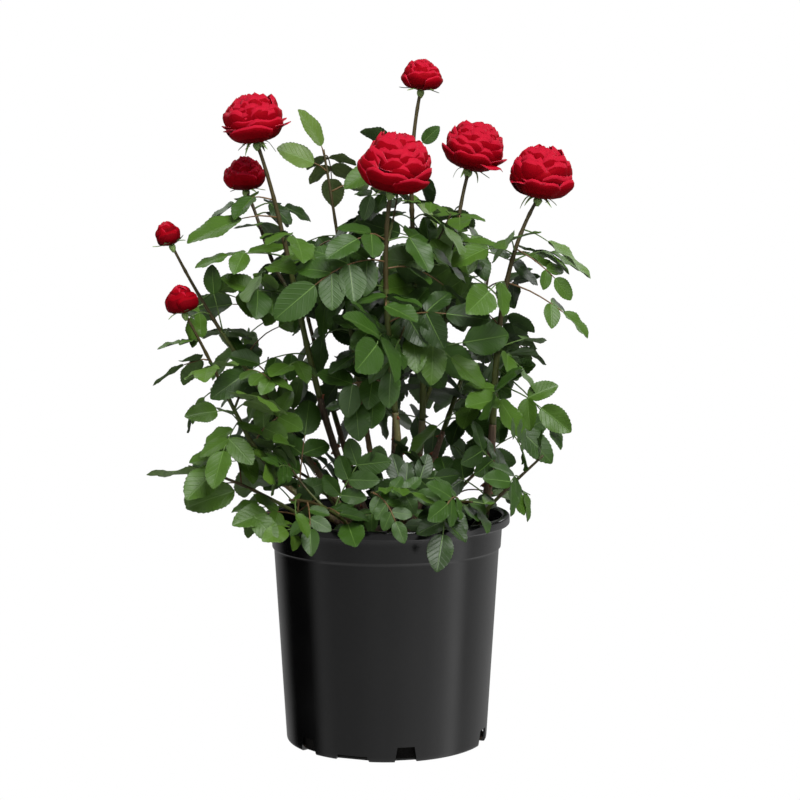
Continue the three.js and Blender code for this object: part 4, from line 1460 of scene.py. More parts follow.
def arc(centre: Pair, radius: float, start: float, end: float, steps: int = 5) -> list[Pair]:
    """Points of an arc in a profile, between two angles in degrees."""
    angles = [math.radians(lerp(start, end, i / steps)) for i in range(steps + 1)]
    return [(centre[0] + radius * math.cos(a), centre[1] + radius * math.sin(a)) for a in angles]


# ---- Pot, soil and crown ----


@dataclass
class Pot:
    """The nursery pot: a thin turned wall with a band, a rolled lip and drain notches."""

    size: PotSize = POT
    foot_round: float = 2.0
    step_round: float = 1.1
    band_rings: tuple[float, ...] = (0.04, 0.3, 0.7, 0.9)
    wall_rings: tuple[float, ...] = (3.2, 6.0, 12.0, 19.0, 26.0, 60.0, 110.0, 165.0, 205.0)

    def profile(self) -> list[Pair]:
        """The turned outline, from the axis below to the axis above the floor."""
        s = self.size
        low, r = s.height - s.lip_drop, s.lip_round
        outer = s.lip_radius - r
        return [
            (0, 0),
            (s.bottom_radius - self.foot_round, 0),
            *arc((s.bottom_radius - self.foot_round, self.foot_round), self.foot_round, -60, 0, 3),
            *((s.outer_at(z), z) for z in self.wall_rings),
            (s.outer_at(s.step_height - 3.0), s.step_height - 3.0),
            (s.outer_at(s.step_height - 0.6), s.step_height - 0.6),
            (s.step_radius + 0.4, s.step_height),
            *arc((s.band_radius - self.step_round, s.step_height + self.step_round), self.step_round,
                 -90, 0, 4),
            *((lerp(s.band_radius, s.band_top_radius, t), lerp(s.step_height + self.step_round, low, t))
              for t in self.band_rings),
            (s.band_top_radius + 0.3, low - 0.9),
            (s.band_top_radius + 1.6, low),
            *arc((outer, low + r), r, -90, 0),
            *arc((outer, s.height - r), r, 0, 90),
            *arc((s.mouth_radius + r, s.height - r), r, 90, 180),
            (s.inner_at(s.step_height), s.step_height),
            (s.inner_at(s.floor + 2), s.floor + 2),
            (s.inner_at(s.floor) - 2, s.floor),
            (0, s.floor),
        ]

    def cutters(self) -> Piece:
        """All the drain notches as one mesh to cut with."""
        shell = Shell("drain_cutters")
        for drain in DRAINS:
            low, high = drain.width / 2, drain.top_width / 2
            outline = ((-low, -1), (low, -1), (high, drain.height), (-high, drain.height))
            for i in range(drain.count):
                angle = math.radians(drain.first + 360 / drain.count * i)
                out = vec(math.sin(angle), -math.cos(angle), 0)
                side = vec(math.cos(angle), math.sin(angle), 0)
                corners = [out * (self.size.bottom_radius + reach) + side * across + UP * z
                           for reach in (-drain.depth, drain.depth) for across, z in outline]
                shell.add(np.array(corners), ring_faces(2, 4))
        return shell.build([])

    def build(self, finish: Material) -> None:
        """Builds the pot with its notches and places it."""
        turned = Shell("pot_turned").add(*lathe(self.profile(), self.size.sides)).build([finish])
        cutters = self.cutters()
        notch = turned.modifiers.new("notches", "BOOLEAN")
        notch.operation, notch.solver, notch.object = "DIFFERENCE", "EXACT", cutters
        pot = plain_mesh(turned, "pot_shell")
        bpy.data.objects.remove(cutters)
        pot.data.materials.clear()
        pot.data.materials.append(finish)
        pot.data.shade_smooth()
        pot.data.set_sharp_from_angle(angle=math.radians(35))
        place_piece(pot, "pot", "pot")


@dataclass
class SoilBed:
    """The potting soil, with crumbs and bark chips on its top."""

    sides: int = 96
    rings: int = 30
    relief: float = 1.6
    crumbs: float = 26000.0
    chips: float = 2600.0

    def build(self, peat: Material, painted_shade: Material, crumb: Material,
              chip: Material, scatter: Scatter) -> None:
        """Builds the bed and what lies on it."""
        s = POT
        edge = SOIL_HEIGHT - SOIL_EDGE_DROP
        rim = min(s.inner_at(edge), s.inner_at(s.step_height)) - GAP
        radii = [SOIL_FLAT_RADIUS * (1 - i / self.rings) for i in range(self.rings)]
        profile = [(0, s.floor + GAP), (s.inner_at(s.floor) - 2 - GAP, s.floor + GAP), (rim, edge)]
        profile += [(r, SOIL_HEIGHT) for r in radii] + [(0, SOIL_HEIGHT)]
        corners, faces = lathe(profile, self.sides)
        top = corners[:, 2] >= SOIL_HEIGHT - 0.1
        waves = 0.6 * ripple(corners, 34, 3) + 0.4 * ripple(corners, 11, 4)
        corners[top, 2] += self.relief * (waves[top] - 1.0)
        # The faces below the soil's edge, its sides and floor, take the near-black finish: painted shade
        # where the drain notches look in.
        finish = [0 if corners[list(face), 2].max() > edge + 0.1 else 1 for face in faces]
        bed = Shell("soil_bed").add(corners, faces, finish).build([peat, painted_shade])
        crumbs = scatter.over(
            bed, self.lump("crumb_source", 1.0, 5), "soil_crumbs", crumb, Density=self.crumbs, Seed=7,
            Smallest=0.5, Largest=2.4, Least_rise=0.6, Lean=(1.0, 0.4, 0.0))
        chips = scatter.over(
            bed, self.lump("chip_source", 0.35, 6), "soil_chips", chip, Density=self.chips, Seed=9,
            Smallest=1.4, Largest=3.6, Least_rise=0.6, Lean=(0.3, 1.0, 0.0))
        for piece in (bed, crumbs, chips):
            place_piece(piece, "soil", "soil")

    @staticmethod
    def lump(name: str, flatness: float, seed: int) -> Shell:
        """A small uneven lump of a millimetre's radius."""
        profile = [(0, -0.7), (0.8, -0.35), (0.95, 0.25), (0.5, 0.8), (0, 0.9)]
        corners, faces = lathe(profile, 5)
        corners *= 1 + 0.25 * ripple(corners, 1.6, seed)[:, None]
        corners *= np.array([1.4, 0.8, flatness])
        return Shell(name).add(corners, faces)


@dataclass
class Crown:
    """The woody knuckle that the canes rise from."""

    sides: int = 36
    relief: float = 1.5

    def build(self, finish: Material) -> None:
        """Builds the crown and places it."""
        foot = SOIL_HEIGHT + GAP
        outline = ((0, 24.0), (0.15, 23.2), (0.3, 22.0), (0.45, 21.2), (0.6, 20.2), (0.74, 18.4),
                   (0.86, 15.8), (0.95, 12.4), (1.0, 8.0))
        profile = [(0, foot), *((r, foot + CROWN_HEIGHT * t) for t, r in outline), (0, foot + CROWN_HEIGHT)]
        corners, faces = lathe(profile, self.sides)
        out = corners * np.array([1.0, 1.0, 0.0])
        out /= np.maximum(np.linalg.norm(out, axis=1, keepdims=True), 1.0)
        waves = 0.6 * ripple(corners, 15, 21) + 0.4 * ripple(corners, 5, 22) - 0.6
        corners += out * (self.relief * waves)[:, None]
        place_piece(Shell("crown_wood").add(corners, faces).build([finish]), "bark", "crown")


# ---- Canes ----


@dataclass
class Canes:
    """The bare canes with their nodes and furrows, and the prickles on them."""

    sides: int = 20
    step: float = 2.6
    node_spacing: float = 27.0
    node_rise: float = 0.2
    node_reach: float = 2.6
    furrow: float = 0.05
    old_wood_height: float = 30.0
    prickles: float = 2300.0

    def cane(self, shoot: Shoot, shell: Shell, old: bool) -> None:
        """Adds one cane, from the soil to where its leafy part begins."""
        reach = shoot.length * shoot.bare
        rings = max(8, round(reach / self.step)) + 1
        shares = [shoot.bare * i / (rings - 1) - (GAP / shoot.length if i == rings - 1 else 0)
                  for i in range(rings)]
        centres = [shoot.curve.at(share) for share in shares]
        headings = [UP if i == 0 else shoot.curve.tangent(share) for i, share in enumerate(shares)]
        chance = np.random.default_rng(shoot.seed)
        nodes = np.cumsum(chance.uniform(0.7, 1.3, 12)) * self.node_spacing
        angles = np.arange(self.sides) * (2 * math.pi / self.sides)
        radii = np.zeros((rings, self.sides))
        for ring, share in enumerate(shares):
            along = share * shoot.length
            swell = sum(math.exp(-((along - at) / self.node_reach) ** 2)
                        * (0.45 + 0.55 * np.cos(angles - 2.4 * i)) for i, at in enumerate(nodes))
            radii[ring] = shoot.radius(share) * (1 + self.node_rise * swell)
        corners = limb(centres, headings, radii, shoot.side)
        axis = np.repeat(np.array(centres), self.sides, axis=0)
        grooves = ripple(corners * np.array([1, 1, 0.12]), 4.5, shoot.seed) * 0.6
        grooves += ripple(corners, 9, shoot.seed + 1) * 0.4
        corners = axis + (corners - axis) * (1 + self.furrow * grooves)[:, None]
        faces = ring_faces(rings, self.sides)
        blotch = ripple(corners, 16, shoot.seed + 2) * 14
        limit = SOIL_HEIGHT + (200 if old else self.old_wood_height)
        finish = [1 if corners[face[0]][2] + blotch[face[0]] < limit else 0 for face in faces]
        shell.add(corners, faces, finish)

    @staticmethod
    def prickle(name: str) -> Shell:
        """One broad-based prickle that hooks down: a millimetre high, and bent towards +X."""
        rings = ((0.0, -0.25, 0.62), (0.0, 0.25, 0.40), (0.12, 0.62, 0.2), (0.42, 0.95, 0.07))
        angles = np.arange(6) * (math.pi / 3)
        corners = [[shift + wide * 1.25 * math.cos(a), wide * 0.6 * math.sin(a), z]
                   for shift, z, wide in rings for a in angles]
        return Shell(name).add(np.array(corners), ring_faces(len(rings), 6))

    def build(self, shoots: dict[str, Shoot], green: Material, brown: Material,
              prickle: Material, scatter: Scatter) -> None:
        """Builds the canes and their prickles."""
        shell = Shell("cane_bark")
        nodes = []
        for shoot in shoots.values():
            if shoot.bare:
                self.cane(shoot, shell, shoot.name in OLD_CANES)
                nodes.append(f"cane_{shoot.name}")
        bark = shell.build([green, brown])
        place_piece(bark, "cane", *nodes)
        hooks = scatter.over(
            bark, self.prickle("prickle_source"), "cane_prickles", prickle, Density=self.prickles, Seed=5,
            Smallest=2.2, Largest=5.2, Least_rise=-0.6, Lean=(0.0, 0.0, -1.0))
        place_piece(hooks, "cane", *nodes)


OLD_CANES = ("right", "back", "back_left", "back_right", "left_middle")


# ---- Foliage ----


@dataclass(frozen=True)
class Blade:
    """The pattern of one leaflet's blade, in shares of its length and half width."""

    stations: int = 11
    last_station: float = 0.97
    fullness: float = 0.62
    forward: float = 0.88
    breadth: float = 1.04
    rib: float = 0.030
    rib_taper: float = 1.2
    inner: float = 0.55
    inner_slant: float = 0.02
    tooth_at: float = 0.72
    tooth: float = 0.07
    thickness: float = 0.014
    keel: float = 1.6
    pillow: float = 0.016
    pillowed: Pair = (0.2, 0.7)
    fold: Pair = (0.04, 0.34)
    bend: Pair = (0.02, 0.20)
    wave: Pair = (0.012, 0.045)
    wave_turns: float = 11.0

    def corners(self, leaflet: Leaflet, chance: np.random.Generator) -> tuple[np.ndarray, np.ndarray]:
        """The corners of a blade and their flat places.

        Args:
            leaflet: where it stands, and its size.
            chance: chance for its fold, bend and wave.

        Returns:
            The corners in space, and their places on the flat blade.
        """
        t = (np.arange(self.stations) + 0.5) / self.stations * self.last_station
        h = self.breadth * np.sin(math.pi * t ** self.forward) ** self.fullness
        tooth_t = t + (np.array([*t[1:], 1.0]) - t) * self.tooth_at
        tooth_h = h + (np.array([*h[1:], 0.0]) - h) * self.tooth_at + self.tooth
        rows = ((t, self.rib * (self.rib_taper - t)), (t + self.inner_slant, self.inner * h), (t, h),
                (tooth_t, tooth_h))
        place = np.vstack([[(0.0, 0.0), (1.0, 0.0)],
                           *(np.column_stack((a, hand * b)) for hand in (1, -1) for a, b in rows),
                           np.column_stack((t, 0.0 * t))])
        length, half = leaflet.length, leaflet.width / 2
        x, y = place[:, 0] * length, place[:, 1] * half
        off = np.abs(place[:, 1])
        fold, bend = chance.uniform(*self.fold), chance.uniform(*self.bend)
        wave, phase = chance.uniform(*self.wave), chance.uniform(0, 6.28)
        z = fold * np.abs(y) - bend * length * place[:, 0] ** 2
        z += wave * length * off ** 2 * np.sin(phase + place[:, 0] * self.wave_turns + np.sign(y))
        z += self.pillow * length * ((off > self.pillowed[0]) & (off < self.pillowed[1]))
        z[-len(t):] -= self.thickness * length * self.keel
        across = cross(leaflet.face, leaflet.along)
        where = leaflet.root + sum(np.outer(*pair) for pair in (
            (x, leaflet.along), (y, across), (z, leaflet.face)))
        return where, np.column_stack((0.5 + 0.5 * place[:, 1], place[:, 0]))

    def faces(self) -> tuple[Faces, list[int], np.ndarray]:
        """The blade's faces, outwards.

        Returns:
            The faces, the part that each is of (0 upper side, 1 midrib, 2 underside), and the
            corners that lie on the outline.
        """
        n = self.stations
        under = 2 + 8 * n
        faces: Faces = []
        parts: list[int] = []

        def add(part: int, turned: bool, *places: tuple[int, int]) -> None:
            """Adds a face from rows and places in them. Past a row's ends lie the base 0 and the tip 1."""
            corners = (0 if i < 0 else 1 if i == n else row + i for row, i in places)
            face = tuple(dict.fromkeys(corners))
            faces.append(face[::-1] if turned else face)
            parts.append(part)

        halves = (2, 2 + 4 * n)
        for half, turned in zip(halves, (False, True)):
            rib, inner, edge, tooth = (half + k * n for k in range(4))
            for i in range(-1, n):
                j = i + 1
                add(0, turned, (rib, i), (inner, i), (inner, j), (rib, j))
                add(0, turned, (inner, i), (edge, i), (tooth, i), (edge, j), (inner, j))
                add(2, turned, (edge, i), (under, i), (under, j), (edge, j), (tooth, i))
        left, right = halves
        for i in range(-1, n):
            add(1, False, (left, i), (left, i + 1), (right, i + 1), (right, i))
        outline = np.zeros(under + n, bool)
        for half in halves:
            outline[half + 2 * n:half + 4 * n] = True
        outline[:2] = True
        return faces, parts, outline


@dataclass
class Foliage:
    """Twigs, leaf stalks and leaves, for all the shoots."""

    blade: Blade = Blade()
    stem_sides: int = 8
    stem_step: float = 5.0
    stalk_sides: int = 6
    stalk_radii: Pair = (1.05, 0.6)
    red_stalks: float = 0.25
    young_leaves: float = 0.8
    node_spacing: float = 26.0
    node_reach: float = 2.4
    node_rise: float = 0.22
    thick_stem: float = 2.5

    def stem(self, shoot: Shoot, shell: Shell) -> None:
        """Adds the leafy part of a shoot's stem."""
        start = shoot.bare
        rings = max(4, round(shoot.length * (1 - start) / self.stem_step)) + 1
        shares = [lerp(start, 1.0, i / (rings - 1)) for i in range(rings)]
        chance = np.random.default_rng(shoot.seed + 7)
        nodes = np.cumsum(chance.uniform(0.75, 1.3, 40)) * self.node_spacing
        centres = [shoot.curve.at(share) for share in shares]
        headings = [shoot.curve.tangent(share) for share in shares]
        radii = []
        for share in shares:
            along = (share - start) * shoot.length
            swell = sum(math.exp(-((along - at) / self.node_reach) ** 2) for at in nodes)
            radii.append(np.full(self.stem_sides, shoot.radius(share) * (1 + self.node_rise * swell)))
        corners = limb(centres, headings, np.array(radii), shoot.side)
        faces = ring_faces(rings, self.stem_sides)
        red = chance.uniform(*((0.35, 0.7) if shoot.thick > self.thick_stem else (0.0, 0.6)))
        shell.add(corners, faces, [1 if face[0] / len(corners) > red else 0 for face in faces])

    def stalk(self, leaf: Leaf, shell: Shell, finish: int) -> None:
        """Adds the stalk of a compound leaf, up to its last leaflet that is kept."""
        last = max(each.node for each in leaf.leaflets)
        line = smooth_path(leaf.points[:last + 1], 2)
        radii = np.array([np.full(self.stalk_sides, lerp(*self.stalk_radii, i / (len(line) - 1)))
                          for i in range(len(line))])
        corners = limb(line, headings_of(line), radii, cross(leaf.headings[0], leaf.plane))
        shell.add(corners, ring_faces(len(line), self.stalk_sides), finish)

    @staticmethod
    def tone(leaf: Leaf, young: bool, dice: Dice) -> int:
        """The number of the green that a compound leaf has, by the light at its place in the crown: painted
        shade inside the crown, low at the front and high on the left, painted light towards the outside, the
        top, the front and the low left, and some random tone.
        """
        if young:
            return YOUNG
        x, y, z = leaf.points[2]
        depth = math.hypot(x, y) / max(1.0, Growth.belly_at(z))
        light = 0.9 * depth + 0.0007 * (z - 300) - 0.0012 * y + dice.roll(-0.35, 0.35)
        light += 0.22 if x < -90 and z < 400 else 0.0
        light -= 0.30 if (x > -70 and z < 360 and y < 0) or (x < -90 and z > 480) else 0.0
        return next((tone for least, tone in TONES_BY_LIGHT if light > least), SHADE)

    def build(self, shoots: Sequence[Shoot], stems: Sequence[Material],
              greens: Sequence[Material], nodes: Sequence[str]) -> None:
        """Builds the twigs and the leaves of all the shoots.

        Args:
            shoots: the shoots and their side twigs.
            stems: two stem finishes and two stalk finishes.
            greens: the upper sides, the undersides and the midrib.
            nodes: the masses that they take the place of.
        """
        twigs, halves = Shell("twigs"), (Shell("leaves_left"), Shell("leaves_right"))
        faces, parts, outline = self.blade.faces()
        tones = (len(greens) - 1) // 2
        count = 0
        for number, shoot in enumerate(shoots):
            self.stem(shoot, twigs)
            for rank, leaf in enumerate(shoot.grown):
                dice = Dice(number * 977 + rank * 31 + 3)
                young = (shoot.name in YOUNG_SHOOTS and leaf.points[0][2] > YOUNG_SHOOTS[shoot.name]
                         and dice.roll() < self.young_leaves)
                tone = self.tone(leaf, young, dice)
                self.stalk(leaf, twigs, 3 if young or dice.roll() < self.red_stalks else 2)
                finish = [(tone, 2 * tones, tones + tone)[part] for part in parts]
                for each in leaf.leaflets:
                    chance = np.random.default_rng(number * 7919 + rank * 101 + each.node * 7 + each.hand)
                    corners, uv = self.blade.corners(each, chance)
                    halves[0 if leaf.points[0][0] < 0 else 1].add(corners, faces, finish, uv, outline)
                    count += 1
        LOG.info("foliage: %d leaflets", count)
        place_piece(twigs.build(stems), "leaf", *nodes)
        for shell in halves:
            place_piece(shell.build(greens), "leaf", *nodes)


# The numbers of the greens, and the least painted light for each.
DEEP, MID, BRIGHT, SHADE, YOUNG = range(5)
TONES_BY_LIGHT = ((0.98, BRIGHT), (0.55, MID), (0.2, DEEP))
# The height above which most leaves of a shoot are young.
YOUNG_SHOOTS = {"spire": 585.0, "left_middle": 700.0, "back": 505.0}


# ---- Blooms ----


@dataclass(frozen=True)
class BloomForm:
    """How the petals of a bloom stand: angles in degrees from its axis, and sizes in its own."""

    petals: int
    heart_reach: float
    guard_top: float
    fall: float
    wall: Pair
    curl: Pair
    widths: Pair
    ruffle: float
    flopped: float
    sepal_fall: Pair
    sepal: float
    # How many more rows at a petal's foot take the painted shade.
    depth: int = 0


FORMS = {
    BloomKind.OPEN: BloomForm(62, 0.10, 0.42, 2.9, (2, 20), (-66, -38), (0.66, 1.34), 0.04, 0.25,
                              (100, 150), 27.0),
    BloomKind.CUP: BloomForm(40, 0.12, 0.50, 1.5, (2, 16), (-66, -50), (0.75, 1.35), 0.04, 0.1,
                             (80, 115), 25.0),
    BloomKind.BUD: BloomForm(18, 0.14, 0.72, 1.7, (0, 4), (-70, -68), (1.0, 1.6), 0.035, 0.0,
                             (78, 105), 21.0, 2),
}


@dataclass
class Blooms:
    """All the blooms, with their petals, sepals and hips."""

    rows: int = 9
    columns: int = 9
    turn: float = math.radians(137.5)
    petal_thickness: float = 0.5
    sepal_thickness: float = 0.6
    sepal_width: float = 4.2
    flat: float = 88.0
    wall_chance: float = 5.0
    curl_chance: float = 14.0
    flop_wall: float = 34.0
    flop_curl: float = 120.0
    turned_by: Pair = (0.24, 0.5)
    curls_from: float = 0.62
    seat: float = 0.03
    heart_seat: float = 0.10
    corner_drop: float = 0.24
    notch: float = 0.07
    cup: float = 0.07

    def petal(self, form: BloomForm, rank: float, flop: float, chance: np.random.Generator) -> np.ndarray:
        """One petal of a bloom that is 1 high and 1 in radius.

        Args:
            form: how the petals stand.
            rank: 0 at the heart and 1 for the outermost.
            flop: how far the petal falls open, from 0 to 1.
            chance: chance for its shape.

        Returns:
            Its points by row and column.
        """
        s = np.linspace(0, 1, 33)
        wall = lerp(*form.wall, rank) + chance.uniform(-self.wall_chance, self.wall_chance)
        wall += self.flop_wall * flop
        curl = lerp(*form.curl, rank) + chance.uniform(-self.curl_chance, self.curl_chance)
        curl += self.flop_curl * flop
        rise = np.clip(s / lerp(*self.turned_by, rank), 0, 1)
        over = np.clip((s - self.curls_from) / (1 - self.curls_from), 0, 1)
        turn = (wall - self.flat) * rise * rise * (3 - 2 * rise)
        heading = np.radians(self.flat + turn + curl * over ** 1.3)
        r = np.concatenate([[0], np.cumsum(np.sin(heading[1:]))])
        z = np.concatenate([[0], np.cumsum(np.cos(heading[1:]))])
        reach = lerp(form.heart_reach, 1.0, rank ** 0.52) * chance.uniform(0.94, 1.04)
        top = lerp(1.0, form.guard_top, rank ** form.fall) * chance.uniform(1 - 0.2 * rank, 1.03)
        top *= 0.93 + 0.07 * min(1.0, rank * 5)
        top *= 1 - 0.45 * flop
        reach *= 1 + 0.12 * flop
        r = self.seat + (reach - self.seat) * r / r.max()
        foot = self.heart_seat * (1 - rank)
        z = foot + (top - foot) * z / z.max()
        broad_most = lerp(*form.widths, rank ** 0.7) * chance.uniform(0.85, 1.12)
        v = np.linspace(-1, 1, self.columns)
        grid = np.zeros((self.rows, self.columns, 3))
        notch, phase = chance.uniform(0.0, self.notch), chance.uniform(0, 6.28)
        skew = chance.uniform(-0.15, 0.15)
        for row, along in enumerate(np.linspace(0, 1, self.rows) ** 0.8):
            at = along * (1 - self.corner_drop * np.abs(v) ** 3.0 - notch * np.exp(-(v * 3.5) ** 2))
            radial, height = np.interp(at, s, r), np.interp(at, s, z)
            broad = broad_most * (0.25 + 0.75 * np.sin(np.clip(at / 0.66, 0, 1) * math.pi / 2)) / 2
            ruffle = form.ruffle * at ** 2 * np.sin(phase + v * (4.5 + 3 * (1 - rank)))
            radial = np.maximum(radial + ruffle - self.cup * reach * at * np.abs(v) ** 2, 0.01)
            tightest = 0.30 * max(reach, 0.35) + 0.12
            angle = (v * broad + skew * at * 0.3) / np.maximum(radial, tightest)
            grid[row] = np.column_stack(
                (radial * np.cos(angle), radial * np.sin(angle), height + ruffle * 0.6))
        return grid

    def bloom(self, shoot: Shoot, shell: Shell) -> None:
        """Adds one bloom's petals."""
        size, form = shoot.bloom, FORMS[shoot.bloom.kind]
        chance = np.random.default_rng(shoot.seed + 900)
        start = chance.uniform(0, 2 * math.pi)
        axis, (east, north) = size.axis, size.sides
        foot = shoot.curve.tip + axis * GAP
        uv = np.stack(np.meshgrid(np.linspace(0, 1, self.columns), np.linspace(0, 1, self.rows)), axis=-1)
        uv = np.concatenate([uv.reshape(-1, 2)] * 2)
        cells, rim = self.columns - 1, 2 * (self.rows + self.columns) - 4
        for k in range(form.petals):
            rank = k / (form.petals - 1)
            flopped = rank > 0.8 and chance.random() < form.flopped
            grid = self.petal(form, rank, chance.uniform(0.3, 1.0) if flopped else 0.0, chance)
            angle = start + k * self.turn + chance.uniform(-0.2, 0.2)
            out, aside, z = grid[..., 0], grid[..., 1], grid[..., 2] * size.tall
            x = (out * math.cos(angle) - aside * math.sin(angle)) * size.across / 2
            y = (out * math.sin(angle) + aside * math.cos(angle)) * size.across / 2
            placed = foot + x[..., None] * east + y[..., None] * north + z[..., None] * axis
            # Painted shade and highlight: the rows near the foot take the deep red, more of them for inner
            # petals and buds; the row below the rim takes the bright red, and the rim faces the pale pink.
            dark, light = round(lerp(5, 3, rank) + form.depth + chance.uniform(-0.6, 0.6)), self.rows - 2
            tones = [0 if row < dark else 2 if row == light else 1 for row in range(self.rows - 1)]
            finish = [tone for tone in tones for _ in range(2 * cells)] + [3] * rim
            shell.add(*thin_sheet(placed, self.petal_thickness), finish, uv)

    def calyx(self, shoot: Shoot, shell: Shell) -> None:
        """Adds one bloom's hip and its five sepals."""
        size, form = shoot.bloom, FORMS[shoot.bloom.kind]
        chance = np.random.default_rng(shoot.seed + 1700)
        swell = min(1.0, 0.55 + size.across / 160)
        axis, (east, north) = size.axis, size.sides
        tip = shoot.curve.tip
        profile = ((-HIP_REACH, shoot.thin * 1.05), (-7.0, 3.4), (-4.4, 4.9), (-1.8, HIP_RADIUS), (0.1, 4.2))
        centres = [tip + axis * at for at, _ in profile]
        radii = np.array([np.full(10, max(r * swell, shoot.thin)) for _, r in profile])
        corners = limb(centres, [axis] * len(profile), radii, shoot.side)
        shell.add(corners, ring_faces(len(profile), 10))
        start = chance.uniform(0, 2 * math.pi)
        for k in range(5):
            angle = start + k * self.turn * 1.047 + chance.uniform(-0.12, 0.12)
            out = east * math.cos(angle) + north * math.sin(angle)
            fall = math.radians(chance.uniform(*form.sepal_fall))
            length = form.sepal * chance.uniform(0.8, 1.15)
            self.sepal(shell, tip + out * 3.2 * swell, out, axis, fall, length, k % 2 == 0, chance)

    def sepal(self, shell: Shell, root: Vec, out: Vec, axis: Vec, fall: float, length: float,
              feathered: bool, chance: np.random.Generator) -> None:
        """Adds one sepal: a narrow pointed blade, and with side lobes when it is feathered."""
        side = cross(axis, out)
        line, widths = [root], []
        rows = 9
        curl = chance.uniform(-0.5, 0.7)
        for i in range(rows):
            s = i / (rows - 1)
            angle = lerp(math.radians(70), fall, min(1.0, s * 2.2)) + curl * s * s
            belly = 0.75 + 0.5 * math.sin(math.pi * min(1.0, s * 2.4))
            widths.append(self.sepal_width * max(0.06, (1 - s) ** 0.7) * belly)
            line.append(line[-1] + (out * math.sin(angle) + axis * math.cos(angle)) * (length / rows))
        centre, half = np.array(line[:rows]), side * np.array(widths)[:, None]
        grid = np.stack([centre - half, centre + axis * 0.5, centre + half], axis=1)
        shell.add(*thin_sheet(grid, self.sepal_thickness), 0 if chance.random() < 0.55 else 1)
        for i, hand in ((2, 1), (3, -1), (4, 1), (5, -1)) if feathered else ():
            along = unit(line[i + 1] - line[i])
            way = unit(along * 0.7 + side * hand)
            foot = centre[i] + side * (hand * widths[i] * 0.8)
            tip = foot + way * length * chance.uniform(0.07, 0.13)
            lobe = np.stack([
                (foot - along * 0.7, foot + along * 0.7), (tip - along * 0.15, tip + along * 0.15)])
            lobe = np.stack([lobe[:, 0], lobe.mean(axis=1) + axis * 0.2, lobe[:, 1]], axis=1)
            shell.add(*thin_sheet(lobe, self.sepal_thickness), 1)

    def build(self, shoots: Sequence[Shoot], reds: Sequence[Material], greens: Sequence[Material]) -> None:
        """Builds the blooms and their sepals."""
        petals, calyces = Shell("petals"), Shell("sepals")
        flowering = [shoot for shoot in shoots if shoot.bloom]
        for shoot in flowering:
            self.bloom(shoot, petals)
            self.calyx(shoot, calyces)
        nodes = [f"bloom_{shoot.name}" for shoot in flowering]
        place_piece(petals.build(reds), "petal", *nodes)
        masses = sorted({f"foliage_{shoot.family}" for shoot in flowering})
        place_piece(calyces.build(greens), "leaf", *masses)


# ---- Studio ----


